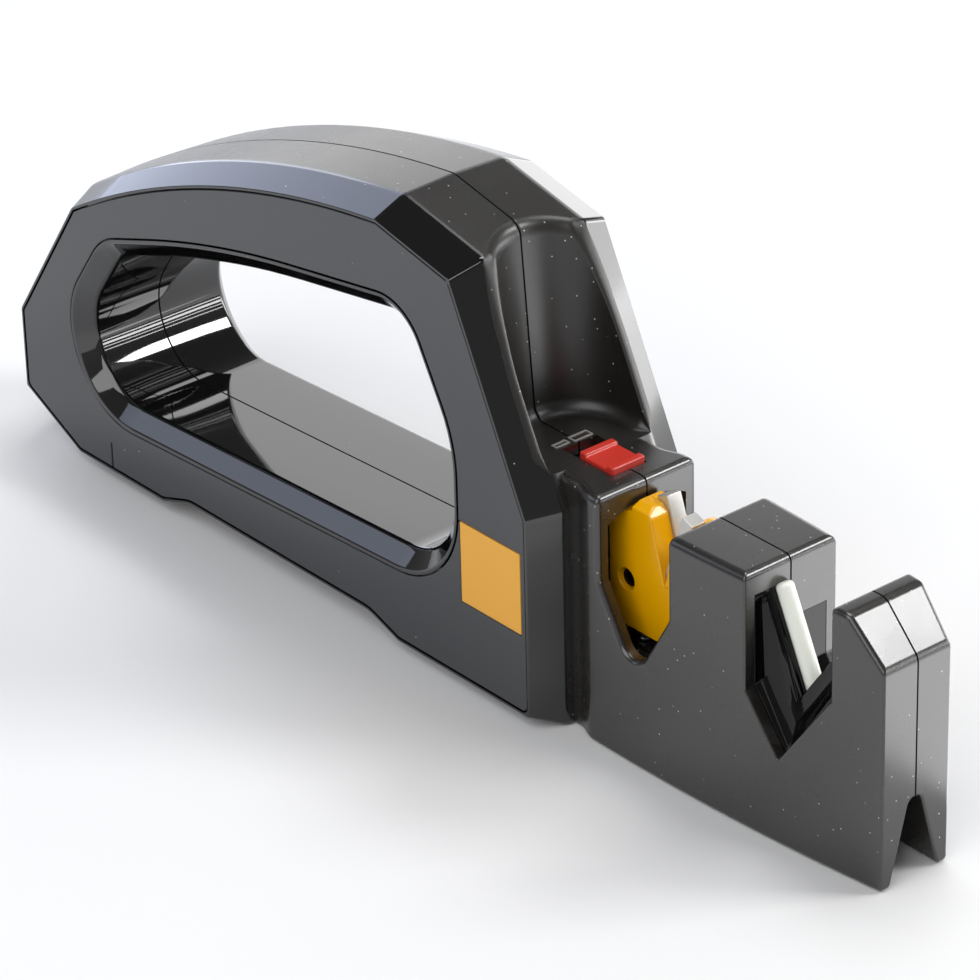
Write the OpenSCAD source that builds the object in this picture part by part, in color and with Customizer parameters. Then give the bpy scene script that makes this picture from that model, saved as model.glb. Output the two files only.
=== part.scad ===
// Manual knife sharpener: a loop handle with a slotted nose.
// The nose points along +X, the seam between the casing halves is the plane Y = 0,
// and Z = 0 is the surface it stands on. Stations run backwards from the nose tip.

/* [Nose] */
// Length of the nose in front of the handle
nose_l = 72.7; // [68:0.1:80]
// Height of the deck and of the block between the slots
deck_z = 47.5; // [45:0.1:50]
// Half width of the nose at its widest station
nose_half = 11.1; // [10.6:0.1:12]
// Station of the widest place of the nose
nose_wide_s = 57.7; // [52:0.1:62]
// Radius of the bowed sides of the nose, seen from above
nose_bow_r = 455; // [400:5:600]
// Height of the top of the nose tip
tip_top_z = 49; // [46:0.1:50]
// Length of the flat on top of the nose tip
tip_flat = 3.7; // [2:0.1:5]
// Height of the front edge of the nose tip
tip_front_z = 41.2; // [36:0.1:44]
// Depth of the guide groove under the nose tip
groove_h = 16.3; // [10:0.1:18]
// Half width of the guide groove at the bottom
groove_half = 5.2; // [4.5:0.1:5.6]
// Length of the guide groove
groove_l = 13; // [8:0.1:15]
// Radius at the top of the guide groove
groove_r = 1.6; // [0.8:0.1:2]

/* [Handle] */
// Half width of the handle over the side panels
handle_half = 17.1; // [16.5:0.1:19]
// Half width of the flat crest between the sloping bands
crest_half = 10.8; // [9:0.1:12]
// How far the crest stands out round the panel's edge
crest_out = 3.5; // [2.5:0.1:4.5]
// Height of the panel's straight front edge
knee_z = 40.7; // [38:0.1:44]
// Setback of the panel's brow behind its front edge
brow_in = 18.2; // [16:0.1:21]
// Height of the brow
brow_z = 78.5; // [76:0.1:80]
// Setback of the panel's highest corner
crown_in = 36.6; // [33:0.1:40]
// Height of the panel's highest corner
crown_z = 82.5; // [81:0.1:85]
// Setback of the corner where the long top arc ends
heel_in = 124.9; // [122:0.1:128]
// Height of that corner
heel_z = 53.4; // [51:0.1:56]
// Rise of the long top arc over its chord
top_rise = 5; // [3:0.1:6]
// Setback of the panel's rear edge
rear_in = 143.3; // [142:0.1:148]
// Height of the rear edge's upper corner
rear_high_z = 26.5; // [24:0.1:30]
// Height of the rear edge's lower corner
rear_low_z = 11; // [9:0.1:14]
// Clear height under the panel between the feet
arch_z = 6.2; // [5:0.1:7]
// Length of the front foot
front_foot_l = 34.3; // [32:0.1:38]
// Length of the rear foot
rear_foot_l = 25.5; // [24:0.1:28]
// Setback of the rear foot's front end
rear_foot_in = 102.3; // [100:0.1:104]
// Length of the ramps between feet and arch
ramp_l = 8; // [6:0.1:11]
// Wall of the casing
wall = 3; // [2.4:0.1:3.2]
// Wall of the casing's nose
nose_wall = 2.2; // [1.8:0.1:2.6]

/* [Hand hole] */
// Setback of the hole's straight front side
hole_front_in = 17; // [15:0.1:19]
// Height where the front side starts to lean back
hole_knee_z = 48.5; // [45:0.1:52]
// Setback of the hole's front top corner
hole_top_in = 29.5; // [28:0.1:32]
// Height of the front top corner
hole_top_z = 71.1; // [70:0.1:72]
// Setback of the middle of the hole's bowed top
hole_mid_in = 82.4; // [78:0.1:86]
// Height of the middle of the bowed top
hole_mid_z = 62.7; // [61:0.1:64]
// Setback of the hole's rear top corner
hole_back_in = 117.1; // [115:0.1:119]
// Height of the rear top corner
hole_back_z = 50.9; // [49:0.1:52]
// Height of the hole's floor at its front
hole_floor_z = 17.8; // [16:0.1:19]
// Fall of the floor towards the rear
hole_floor_fall = 6.4; // [4:0.1:7]
// Setback of the hole's rear bottom corner before rounding
hole_rear_in = 145.3; // [143:0.1:147]
// Radius of the hole's rear end
hole_rear_r = 16.8; // [14:0.1:18]
// Corner radius of the hole at the foot of its front wall
hole_toe_r = 18; // [16:0.5:20]
// Radius of the bend in its front wall
hole_knee_r = 26; // [24:0.5:28]
// Corner radius at its highest point
hole_top_r = 11; // [10:0.1:12]
// Radius of its long upper side
hole_mid_r = 250; // [220:5:280]
// Corner radius at the rear end of that side
hole_back_r = 8; // [7:0.1:9]
// Width of the sloping rim round the hole
rim_w = 4.2; // [3:0.1:5]
// Depth of that rim below the panel's face
rim_depth = 2.6; // [1.8:0.1:3.2]

/* [Side panels] */
// Thickness of a side panel
panel_t = 1.8; // [1.4:0.1:2.2]
// Groove between a panel and the casing
panel_gap = 0.3; // [0.2:0.05:0.5]
// Width of the casing's lip outside that groove
lip_w = 0.45; // [0.3:0.05:0.8]
// Diameter of the pegs behind a panel
peg_d = 3; // [2.4:0.1:3.6]
// Length of those pegs
peg_l = 1.9; // [1.2:0.1:2]
// Side of the square label
label_w = 15.5; // [12:0.1:16]
// Thickness of the label
label_t = 0.5; // [0.4:0.05:0.8]
// Setback of the label from the panel's front edge
label_in = 1.1; // [0.8:0.1:2]
// Height of the label's lower edge
label_z = 18.4; // [17:0.1:24]
// Setback of the short slit in the panel's lower edge
slit_in = 117.6; // [112:0.1:122]
// Width and depth of that slit
slit_w = 0.35; // [0.2:0.05:0.5]
// Height of that slit
slit_h = 5.1; // [4:0.1:6]

/* [Thumb scoop] */
// Radius of the scoop
scoop_r = 11.2; // [10:0.1:11.6]
// Station of the scoop's deepest line at the deck
scoop_back_s = 92.6; // [90:0.1:93]
// Lean of the scoop's back wall
scoop_lean = 5; // [2:0.5:6]

/* [First slot] */
// Station of the front wall of the first slot
slot1_front_s = 47.2; // [46:0.1:48]
// Width of the first slot along the nose
slot1_w = 17.1; // [16.5:0.1:17.6]
// Height where the side cut starts to narrow
slot1_shoulder_z = 31.8; // [30:0.1:34]
// Lean of the narrowing sides from the vertical
slot1_v = 30; // [27:0.5:33]
// Radius at the bottom of the side cut
slot1_r = 3.4; // [2.5:0.1:4]
// Height of the pit's floor between the side walls
pit_z = 14; // [11:0.1:16]

/* [Second slot] */
// Station of the front wall of the second slot
slot2_front_s = 11.2; // [10.5:0.1:12]
// Width of the second slot along the nose
slot2_w = 18.2; // [17:0.1:19]
// Distance of the slot's lowest point from its rear wall
slot2_tip_in = 7.3; // [6:0.1:9]
// Height of the slot's lowest point
slot2_tip_z = 16; // [15:0.1:18]
// Rise of the sloping floor per unit of length
slot2_slope = 1.4; // [1.2:0.05:1.5]
// Wall of the rod cradle
cradle_wall = 1.8; // [1.4:0.1:2.2]
// Height of the cradle's liner
cradle_z = 36; // [34:0.1:38]
// Diameter of the ceramic rods
rod_d = 3.2; // [2.8:0.1:3.4]
// Lean of the rods from the vertical
rod_lean = 25; // [22:0.5:27]
// Height where the rods cross
rod_cross_z = 24.4; // [23.5:0.1:26]
// Height of the rods' upper ends
rod_top_z = 43.4; // [41:0.1:44]
// Length of the rods below their crossing
rod_below = 4.6; // [3.5:0.1:5]
// Gap between the rods where they cross
rod_gap = 0.5; // [0.3:0.05:0.8]
// How far a rod's axis stands out of its bed
rod_proud = 0.4; // [0.2:0.05:0.8]
// Width of the flares beside the rods
flare_w = 6; // [4:0.1:7]

/* [Rocker] */
// Height of the rocker's pin
pivot_z = 26.4; // [25:0.1:27]
// Half width of the rocker
rocker_half = 4; // [3.6:0.1:4.2]
// Height of the rocker above its pin
rocker_up = 18.2; // [17:0.1:18.3]
// Depth of the rocker below its pin
rocker_down = 6; // [5:0.1:7]
// How far the rocker reaches behind the slot
rocker_tail = 5.2; // [5:0.1:5.6]
// Height of that tail above the pin
tail_up = 16.4; // [15.8:0.1:16.6]
// Radius of the arched window that the tail passes through, about the pin
window_r = 17.6; // [17.4:0.1:18]
// Width of the bevel along the rocker's top edges
rocker_bevel_w = 1.8; // [1.2:0.1:2.2]
// Height of that bevel
rocker_bevel_h = 0.8; // [0.6:0.1:1.2]
// Height of the funnel's lowest line above the pin
funnel_up = 5.6; // [4:0.1:7]
// Half angle of the funnel
funnel_half = 15.5; // [12:0.5:17]
// Height of the bevel along the funnel's upper edges
funnel_bevel = 1.3; // [0.8:0.1:1.6]
// Tilt of the rocker to each side
rocker_tilt = 14; // [8:0.5:14]
// Diameter of the rocker's pin
pin_d = 3; // [2.4:0.1:3.2]
// Depth of the pin's seats in the casing
pin_seat = 5; // [4:0.1:6]
// Thickness of a carbide bar along the nose
carbide_t = 2.6; // [1.8:0.1:2.8]
// Width of a carbide bar across the nose
carbide_w = 3; // [2.4:0.1:3.2]
// Height above the pin of the rocker's walls outside the bars
bar_wall_up = 15; // [14:0.1:16]
// Lean of the carbide bars from the vertical
carbide_lean = 18.7; // [17:0.1:20]
// Height above the pin where the bars cross
carbide_cross_up = 9.3; // [8.5:0.1:10.5]
// Height of the bars' upper ends above the pin
carbide_top_up = 19.7; // [18.5:0.1:20]
// Length of the bars below their crossing
carbide_below = 3; // [2:0.1:4]
// Outside diameter of the centring springs
spring_d = 2.8; // [2.4:0.1:2.8]
// Wire diameter of the centring springs
spring_wire = 0.6; // [0.4:0.05:0.7]
// Turns of a centring spring
spring_turns = 7; // [5:1:9]
// Height of the springs' lower seat
spring_seat_z = 12; // [10:0.1:14]
// Distance of the springs from the centre
spring_y = 2.4; // [2.2:0.1:2.5]

/* [Lock] */
// Length of the thumb slider
button_l = 8.5; // [7:0.1:9]
// Half width of the thumb slider
button_half = 3.6; // [3:0.1:4]
// Height of the slider's plate above the deck
button_h = 0.4; // [0.4:0.1:1]
// Height of its two ridges above the plate
ridge_h = 0.6; // [0.6:0.1:1.2]
// Width of those ridges
ridge_w = 1.6; // [1.2:0.1:2]
// Travel of the slider
lock_travel = 4; // [3:0.1:4.5]
// Gap between the rocker's window and the slider
button_in = 2.2; // [2:0.1:3]
// Thickness of the slider's flange under the deck
flange_t = 1.8; // [1.4:0.1:2.2]
// Half width of that flange
flange_half = 6.2; // [5.8:0.1:7]
// Length of the slider's leg along the nose
leg_l = 3.2; // [2.6:0.1:4]
// Height of the lower end of the slider's leg above the pin
leg_up = 6.6; // [6.2:0.1:8]
// Height of the brake shoe
shoe_h = 7; // [5:0.1:8]
// Thickness of the brake shoe
shoe_t = 3; // [2:0.1:3.2]
// Thickness of the detent leaf
leaf_t = 0.4; // [0.3:0.05:0.5]
// Free length of the detent leaf behind the slider
leaf_l = 7; // [6:0.1:8]
// Diameter of the detent leaf's bump
bump_d = 0.7; // [0.5:0.05:0.75]

/* [Fasteners] */
// Thread diameter of the casing screws
screw_d = 3; // [2.5:0.1:3.2]
// Head diameter of the casing screws
head_d = 5.4; // [5:0.1:5.6]
// Head height of the casing screws
head_h = 2.2; // [1.6:0.1:2.4]
// Diameter of the screw bosses
boss_d = 7.4; // [7:0.1:8]
// Depth of the thread in the right casing
thread_l = 9; // [7:0.1:11]
// Height of the head's seat above the seam
seat_y = 8; // [7:0.1:9]
// Thread depth of the screws in the nose
nose_thread_l = 5; // [4:0.1:5.5]
// Height of the nose screws' seat above the seam
nose_seat_y = 4; // [3.5:0.1:4.5]
// Diameter of the rocker's screws
rocker_screw_d = 1.8; // [1.4:0.1:2]
// Head diameter of the rocker's screws
rocker_head_d = 3.6; // [3:0.1:3.8]

/* [Feet] */
// Thickness of the rubber pads
pad_t = 1.4; // [1:0.1:1.6]
// Half width of the rubber pads
pad_half = 8.4; // [7:0.1:9]
// Margin of a pad inside its foot
pad_in = 3.4; // [3:0.1:4.5]

/* [Clearances] */
// Radial play of the rocker on its pin
pin_play = 0.05; // [0.02:0.01:0.08]
// Sliding play of the slider
slide_play = 0.2; // [0.15:0.01:0.3]
// Play between pieces that sit in a pocket
seat_play = 0.05; // [0.02:0.01:0.1]
// Play of the brake shoe behind the rocker
shoe_play = 0.15; // [0.1:0.01:0.3]
// Gap between the casing halves at the seam
seam = 0.04; // [0.02:0.01:0.1]
// Radial play of screws and pegs in their holes
hole_play = 0.15; // [0.1:0.01:0.2]
// Radial play of threads and pressed pins
thread_play = 0.01; // [0.01:0.005:0.02]

/* [Hidden] */
$fn = 64;

// Colours of the materials
satin_black = "#2b2b2c";
panel_black = "#34363a";
gloss_black = "#101012";
yellow = "#eeb000";
red = "#c1281c";
orange = "#e8a93a";
steel = "#b9bcc0";
ceramic = "#eef1e6";
rubber = "#1d1d1d";

// Stations and places that follow from the sizes above
panel_front_s = nose_l + crest_out;
overall_l = panel_front_s + rear_in + crest_out;
tip_x = overall_l / 2;
over = 1;
sink = 0.5;
far = 60;
tiny_r = 0.3;
edge_r = 1.2;
foot_r = 1.5;
arch_r = 10;
notch_play = 0.3;
leg_play = 0.6;
screw_stop = 0.8;
thread_spare = 1;
bed_up = 1;
slot1_side_r = 1;
end_play = 0.3;
rocker_head_h = 1.2;
drive_w = 0.8;
mouth_gap = 0.9;
recess_y = handle_half - panel_t;
floor_thin = 1;
floor_y = recess_y - wall + floor_thin;
slot1_rear_s = slot1_front_s + slot1_w;
slot1_mid_s = slot1_front_s + slot1_w / 2;
slot2_rear_s = slot2_front_s + slot2_w;
slot2_mid_s = slot2_front_s + slot2_w / 2;
slot2_tip_s = slot2_rear_s - slot2_tip_in;
bow_spare = 0.2;
nose_in = nose_half - nose_wall - bow_spare;
roof_z = deck_z - nose_wall;
tail_s = slot1_rear_s + rocker_tail;
front_gap = 1;
tail_gap = 0.6;
button_s = slot1_rear_s + nose_wall + button_in;
leg_s = tail_s + shoe_play + shoe_t;
seat_s = leg_s;
pin_cover = 2.4;
pin_stop = 1;
spring_clear = 0.2;
spring_s = slot1_rear_s + nose_wall + spring_clear + spring_d / 2;
seat_z = pivot_z + pin_d / 2 + pin_cover;
flange_z = roof_z - slide_play - flange_t;
flange_gap = 0.8;
flange_s = tail_s + flange_gap;
flange_l = 11;
rail_t = 2;
rail_margin = 1;
rail_in = button_half + rail_margin;
leaf_half = 2;
leaf_hold = 1.6;
leaf_s = flange_s + flange_l - leaf_hold;
bump_in = 1.4;
bump_s = leaf_s + leaf_l - bump_in;
arc_steps = 6;
wire_sides = 6;
turn_rings = 8;
foot_z = crest_out;

// Screws and pegs, each as its setback behind the panel's front edge and its height
handle_screw_at = [[9.8, 11.4], [43.8, 75.6], [88.8, 65.6], [135.4, 26.5], [73.8, 10.6]];
peg_at = [[10.3, 49], [63.8, 72.2], [129.4, 41], [97, 9.6]];
// Screws in the nose, as station and height
nose_screw_at = [[6, 29], [36.5, 9.5]];
// Screws in the rocker, as station behind the slot's front wall and height above the pin
rocker_screw_at = [[18, 3], [3.8, 5.2]];

function unit(v) = v / norm(v);

// Points of the arc of radius r that rounds corner b between a and c
function corner_arc(a, b, c, r) =
    let (u = unit(a - b), v = unit(c - b), half = acos(u * v) / 2,
         mid = b + unit(u + v) * r / sin(half), p = b + u * r / tan(half) - mid,
         q = b + v * r / tan(half) - mid, start = atan2(p[1], p[0]),
         turn = atan2(p[0] * q[1] - p[1] * q[0], p * q))
    [for (i = [0:arc_steps]) mid + r * [cos(start + turn * i / arc_steps),
                                       sin(start + turn * i / arc_steps)]];

// Outline whose corners, given as [x, z, radius], are all rounded
function rounded(c) =
    let (n = len(c), p = [for (k = c) [k[0], k[1]]])
    [for (i = [0:n - 1]) each corner_arc(p[(i + n - 1) % n], p[i], p[(i + 1) % n], c[i][2])];

// Corners of a counterclockwise outline moved outwards by t, with radii to match
function moved(c, t) =
    let (n = len(c), p = [for (k = c) [k[0], k[1]]])
    [for (i = [0:n - 1])
        let (u = unit(p[i] - p[(i + n - 1) % n]), v = unit(p[(i + 1) % n] - p[i]),
             nu = [u[1], -u[0]], nv = [v[1], -v[0]], bend = u[0] * v[1] - u[1] * v[0],
             q = p[i] + t * (nu + nv) / (1 + nu * nv))
        [q[0], q[1], max(c[i][2] + (bend > 0 ? t : -t), tiny_r)]];

function at_s(s) = tip_x - s;
function at_in(d) = at_s(panel_front_s + d);

// The long top arc is one corner of large radius between the crown and the heel
top_chord = [heel_in - crown_in, heel_z - crown_z];
top_half = 2 * atan(2 * top_rise / norm(top_chord));
top_r = norm(top_chord) / 2 / sin(top_half);
crown_spare = 6;
top_out = norm(top_chord) / 2 * tan(top_half);
top_mid = [crown_in, crown_z] + top_chord / 2
    + top_out * [-top_chord[1], top_chord[0]] / norm(top_chord);

panel_corners = [
    [at_in(0), foot_z, edge_r], [at_in(0), knee_z, edge_r], [at_in(brow_in), brow_z, edge_r],
    [at_in(crown_in), crown_z, edge_r], [at_in(top_mid[0]), top_mid[1], top_r - crown_spare],
    [at_in(heel_in), heel_z, edge_r], [at_in(rear_in), rear_high_z, foot_r],
    [at_in(rear_in), rear_low_z, foot_r], [at_in(rear_foot_in + rear_foot_l), foot_z, foot_r],
    [at_in(rear_foot_in), foot_z, foot_r], [at_in(rear_foot_in - ramp_l), arch_z, arch_r],
    [at_in(front_foot_l + ramp_l), arch_z, arch_r], [at_in(front_foot_l), foot_z, foot_r]];

// The same outline without the arch, and the arch on its own, carried on below the feet
outer_corners = [for (i = [0:8]) panel_corners[i]];
arch_run = ramp_l / (arch_z - foot_z) * 2 * foot_z;
arch_corners = [
    [at_in(rear_foot_in + arch_run), -foot_z, tiny_r], [at_in(front_foot_l - arch_run), -foot_z, tiny_r],
    [at_in(front_foot_l + ramp_l), arch_z, arch_r], [at_in(rear_foot_in - ramp_l), arch_z, arch_r]];

hole_corners = [
    [at_in(hole_front_in), hole_floor_z, hole_toe_r], [at_in(hole_front_in), hole_knee_z, hole_knee_r],
    [at_in(hole_top_in), hole_top_z, hole_top_r], [at_in(hole_mid_in), hole_mid_z, hole_mid_r],
    [at_in(hole_back_in), hole_back_z, hole_back_r],
    [at_in(hole_rear_in), hole_floor_z - hole_floor_fall, hole_rear_r]];

slot1_drop = slot1_w / 2 / tan(slot1_v);
slot1_corners = [
    [at_s(slot1_front_s), deck_z + far, tiny_r], [at_s(slot1_rear_s), deck_z + far, tiny_r],
    [at_s(slot1_rear_s), slot1_shoulder_z, slot1_side_r],
    [at_s(slot1_mid_s), slot1_shoulder_z - slot1_drop, slot1_r],
    [at_s(slot1_front_s), slot1_shoulder_z, slot1_side_r]];

slot2_shoulder_rear = slot2_tip_z + slot2_tip_in * slot2_slope;
slot2_shoulder_front = slot2_tip_z + (slot2_w - slot2_tip_in) * slot2_slope;
slot2_corners = [
    [at_s(slot2_front_s), deck_z + far, tiny_r], [at_s(slot2_rear_s), deck_z + far, tiny_r],
    [at_s(slot2_rear_s), slot2_shoulder_rear, tiny_r], [at_s(slot2_tip_s), slot2_tip_z, tiny_r],
    [at_s(slot2_front_s), slot2_shoulder_front, tiny_r]];

// Prism of an outline in the XZ plane, from y0 up to y1
module prism(points, y0, y1) {
    translate([0, y1, 0]) rotate([90, 0, 0]) linear_extrude(y1 - y0) polygon(points);
}

// Solid through outlines of equal length, each as [y, points], in order of falling y
module loft(rings) {
    n = len(rings[0][1]);
    m = len(rings);
    points = [for (ring = rings) each [for (p = ring[1]) [p[0], ring[0], p[1]]]];
    sides = [for (k = [0:m - 2]) for (i = [0:n - 1])
        let (j = (i + 1) % n) [k * n + i, (k + 1) * n + i, (k + 1) * n + j, k * n + j]];
    back = [for (i = [0:n - 1]) i];
    front = [for (i = [0:n - 1]) m * n - 1 - i];
    polyhedron(points, concat(sides, [back, front]), convexity = 10);
}

// Block between two stations, two y values and two heights
module block(s0, s1, y0, y1, z0, z1) {
    translate([at_s(s1), y0, z0]) cube([s1 - s0, y1 - y0, z1 - z0]);
}

// Cylinder along Y between y0 and y1
module across(x, z, d, y0, y1) {
    translate([x, y1, z]) rotate([90, 0, 0]) cylinder(d = d, h = y1 - y0);
}

// Cylinder along X between two stations
module along(s0, s1, y, z, d) {
    translate([at_s(s1), y, z]) rotate([0, 90, 0]) cylinder(d = d, h = s1 - s0);
}

// Half of the loop handle as a full solid, on the side of falling Y
module handle_half_solid() {
    lip = panel_gap + lip_w;
    difference() {
        loft([[-seam / 2, rounded(moved(outer_corners, crest_out))],
              [-crest_half, rounded(moved(outer_corners, crest_out))],
              [-handle_half, rounded(moved(outer_corners, lip))]]);
        loft([[over, rounded(moved(arch_corners, -crest_out))],
              [-crest_half, rounded(moved(arch_corners, -crest_out))],
              [-handle_half, rounded(moved(arch_corners, -lip))],
              [-handle_half - over, rounded(moved(arch_corners, -lip))]]);
    }
}

// The hand hole on that side, with its sloping rim
module handle_hole() {
    face = rounded(moved(hole_corners, -panel_gap - lip_w));
    inner = rounded(moved(hole_corners, -rim_w));
    loft([[over, inner], [-handle_half + rim_depth, inner], [-handle_half, face],
          [-handle_half - over, face]]);
}

// Half of the nose as a full solid: its side profile, bowed in plan
module nose_half_solid() {
    profile = rounded([
        [at_s(0), 0, foot_r], [at_s(0), tip_front_z, foot_r],
        [at_s(slot2_front_s - tip_flat), tip_top_z, edge_r], [at_s(slot2_mid_s), tip_top_z, tiny_r],
        [at_s(slot2_mid_s), deck_z, tiny_r], [at_s(nose_l + wall), deck_z, tiny_r],
        [at_s(nose_l + wall), 0, tiny_r]]);
    intersection() {
        prism(profile, -nose_half - over, -seam / 2);
        nose_bow(0);
    }
}

// Upright cylinder whose side is the nose's bowed side, moved in by t
module nose_bow(t) {
    translate([at_s(nose_wide_s), nose_bow_r - nose_half + t, -over])
        cylinder(r = nose_bow_r, h = max(deck_z, tip_top_z) + 2 * over, $fn = 720);
}

// Thumb scoop over the deck, grown by t
module scoop(t) {
    axis_s = scoop_back_s - scoop_r;
    translate([at_s(axis_s), 0, deck_z - t]) {
        intersection() {
            rotate([0, -scoop_lean, 0]) union() {
                translate([0, 0, -far]) cylinder(r = scoop_r + t, h = 3 * far);
                translate([0, -scoop_r - t, -far]) cube([far, 2 * (scoop_r + t), 3 * far]);
            }
            translate([-far, -far, 0]) cube([2 * far, 2 * far, 2 * far]);
        }
    }
}

// Guide groove under the nose tip
module guide_groove() {
    half_angle = atan(groove_half / groove_h);
    slant = [[-groove_half - over * tan(half_angle), -over, tiny_r],
             [groove_half + over * tan(half_angle), -over, tiny_r],
             [0, groove_h + groove_r / sin(half_angle) - groove_r, groove_r]];
    translate([at_s(groove_l), 0, 0]) rotate([90, 0, 90])
        linear_extrude(groove_l + over) polygon(rounded(slant));
}

// Hollow of the handle on one side
module handle_hollow() {
    difference() {
        prism(rounded(moved(panel_corners, crest_out - wall)), -floor_y, over);
        prism(rounded(moved(hole_corners, wall - rim_w)), -far, far);
        scoop(nose_wall);
        translate([at_s(nose_l + wall), -far, deck_z - nose_wall]) cube(2 * far);
    }
}

// Hollows of the nose on one side: under the deck, the pit, and the block between the slots
module nose_hollow() {
    block(slot1_rear_s + nose_wall, nose_l + 2 * wall, -nose_in, over, nose_wall, roof_z);
    block(slot1_front_s, slot1_rear_s + nose_wall + over, -nose_in, over, pit_z, slot1_shoulder_z);
    block(slot1_front_s, slot1_rear_s, -nose_in, over, pit_z, deck_z + over);
    intersection() {
        along(slot1_rear_s - over, slot1_rear_s + nose_wall + over, 0, pivot_z, 2 * window_r);
        block(slot1_rear_s - over, slot1_rear_s + nose_wall + over, -nose_in, over, pivot_z, deck_z);
    }
    block(slot2_rear_s + cradle_wall + nose_wall, slot1_front_s - pin_seat - over, -nose_in + sink, over,
          nose_wall, roof_z);
}

// Pocket for the rod cradle inside the side walls: the beds lie at opposite ends left and right
module cradle_pocket(left) {
    intersection() {
        prism(rounded(moved(slot2_corners, cradle_wall + seat_play)), -far, far);
        nose_bow(nose_wall);
        translate([at_s(far), -far, 0]) cube([far, 2 * far, cradle_z + seat_play]);
    }
    if (left) front_backing(seat_play);
    else rear_backing(seat_play);
}

// Posts, rails and seats inside one casing half
module casing_inside() {
    for (p = handle_screw_at) across(at_in(p[0]), p[1], boss_d, -floor_y - sink, -seam / 2);
    across(at_s(nose_screw_at[1][0]), nose_screw_at[1][1], boss_d, -nose_in - sink, -seam / 2);
    block(seat_s, seat_s + pin_seat, -nose_in - sink, -seam / 2, nose_wall - sink, seat_z);
    block(slot1_rear_s + nose_wall - sink, seat_s + sink, -nose_in - sink, -seam / 2, nose_wall - sink,
          spring_seat_z);
    block(flange_s, flange_s + flange_l + lock_travel, -nose_in - sink, -rail_in,
          flange_z - slide_play - rail_t, flange_z - slide_play);
    block(nose_l + wall, flange_s + flange_l + lock_travel, -floor_y - sink, -nose_in,
          flange_z - slide_play - rail_t, flange_z - slide_play);
}

// Everything that is cut out of a casing half from outside
module casing_cuts(left) {
    scoop(0);
    guide_groove();
    prism(rounded(slot1_corners), -far, far);
    prism(rounded(slot2_corners), -far, far);
    prism(rounded(moved(panel_corners, panel_gap)), -far, -recess_y);
    handle_hole();
    cradle_pocket(left);
    along(slot1_front_s - pin_seat, seat_s + pin_seat - pin_stop, 0, pivot_z, pin_d + 2 * thread_play);
    block(button_s - slide_play, button_s + button_l + lock_travel + slide_play, -button_half - slide_play,
          over, roof_z - over, deck_z + over);
    for (t = [0, lock_travel])
        translate([at_s(bump_s + t), 0, roof_z]) rotate([90, 0, 0])
            cylinder(d = bump_d + 2 * notch_play, h = 2 * (leaf_half + notch_play), center = true);
    for (p = peg_at) across(at_in(p[0]), p[1], peg_d + 2 * hole_play, -recess_y - over,
        -recess_y + peg_l + hole_play);
    foot_recess(front_foot_l, 0);
    foot_recess(rear_foot_l, rear_foot_in);
}

// Casing half on the side of falling Y, before its screw holes; the left one is mirrored later
module casing_shell(left) {
    difference() {
        union() {
            difference() {
                union() {
                    handle_half_solid();
                    nose_half_solid();
                }
                handle_hollow();
                nose_hollow();
            }
            casing_inside();
        }
        casing_cuts(left);
    }
}

module foot_recess(foot_l, foot_in) {
    block(panel_front_s + foot_in + pad_in, panel_front_s + foot_in + foot_l - pad_in,
          -pad_half - seat_play, over, -over, pad_t);
}

// Casing screws need a blind thread on the right and a seat with its bore on the left
module right_casing() {
    color(satin_black) difference() {
        casing_shell(false);
        for (p = handle_screw_at)
            across(at_in(p[0]), p[1], screw_d + 2 * thread_play, -thread_l - thread_spare, over);
        for (p = nose_screw_at)
            across(at_s(p[0]), p[1], screw_d + 2 * thread_play, -nose_thread_l - thread_spare, over);
    }
}

module left_casing() {
    color(satin_black) difference() {
        mirror([0, 1, 0]) casing_shell(true);
        for (p = handle_screw_at) screw_seat(at_in(p[0]), p[1], seat_y);
        for (p = nose_screw_at) screw_seat(at_s(p[0]), p[1], nose_seat_y);
    }
}

module screw_seat(x, z, y) {
    across(x, z, screw_d + 2 * hole_play, -over, y + over);
    across(x, z, head_d + 2 * hole_play, y, far);
}

// Panel on the side of falling Y, with its pegs
module side_panel() {
    difference() {
        union() {
            prism(rounded(panel_corners), -handle_half + seat_play, -recess_y);
            for (p = peg_at) across(at_in(p[0]), p[1], peg_d, -recess_y - sink, -recess_y + peg_l);
        }
        prism(rounded(hole_corners), -far, far);
        label_block(label_w + 2 * hole_play, label_t);
        block(panel_front_s + slit_in, panel_front_s + slit_in + slit_w, -handle_half - over,
              -handle_half + slit_w, 0, foot_z + slit_h);
    }
}

module label_block(w, depth) {
    s0 = panel_front_s + label_in + (label_w - w) / 2;
    z0 = label_z + (label_w - w) / 2;
    block(s0, s0 + w, -handle_half - over, -handle_half + depth, z0, z0 + w);
}

module right_side_panel() { color(panel_black) side_panel(); }
module left_side_panel() { color(panel_black) mirror([0, 1, 0]) side_panel(); }

module label() {
    intersection() {
        label_block(label_w, label_t);
        translate([-2 * far, -handle_half + seat_play, 0]) cube([4 * far, label_t, 2 * far]);
    }
}

module right_label() { color(orange) label(); }
module left_label() { color(orange) mirror([0, 1, 0]) label(); }

// Funnel of the rocker, open upwards, with bevelled upper edges
module funnel() {
    rise = 2 * far;
    half = rise * tan(funnel_half);
    x = at_s(slot1_mid_s);
    z = pivot_z + funnel_up;
    bevel_z = pivot_z + rocker_up - funnel_bevel;
    low = bevel_z - (bevel_z - z) * tan(funnel_half);
    prism([[x, z], [x + half, z + rise], [x - half, z + rise]], -far, far);
    prism([[x, low], [x + rise, low + rise], [x - rise, low + rise]], -far, far);
}

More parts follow.
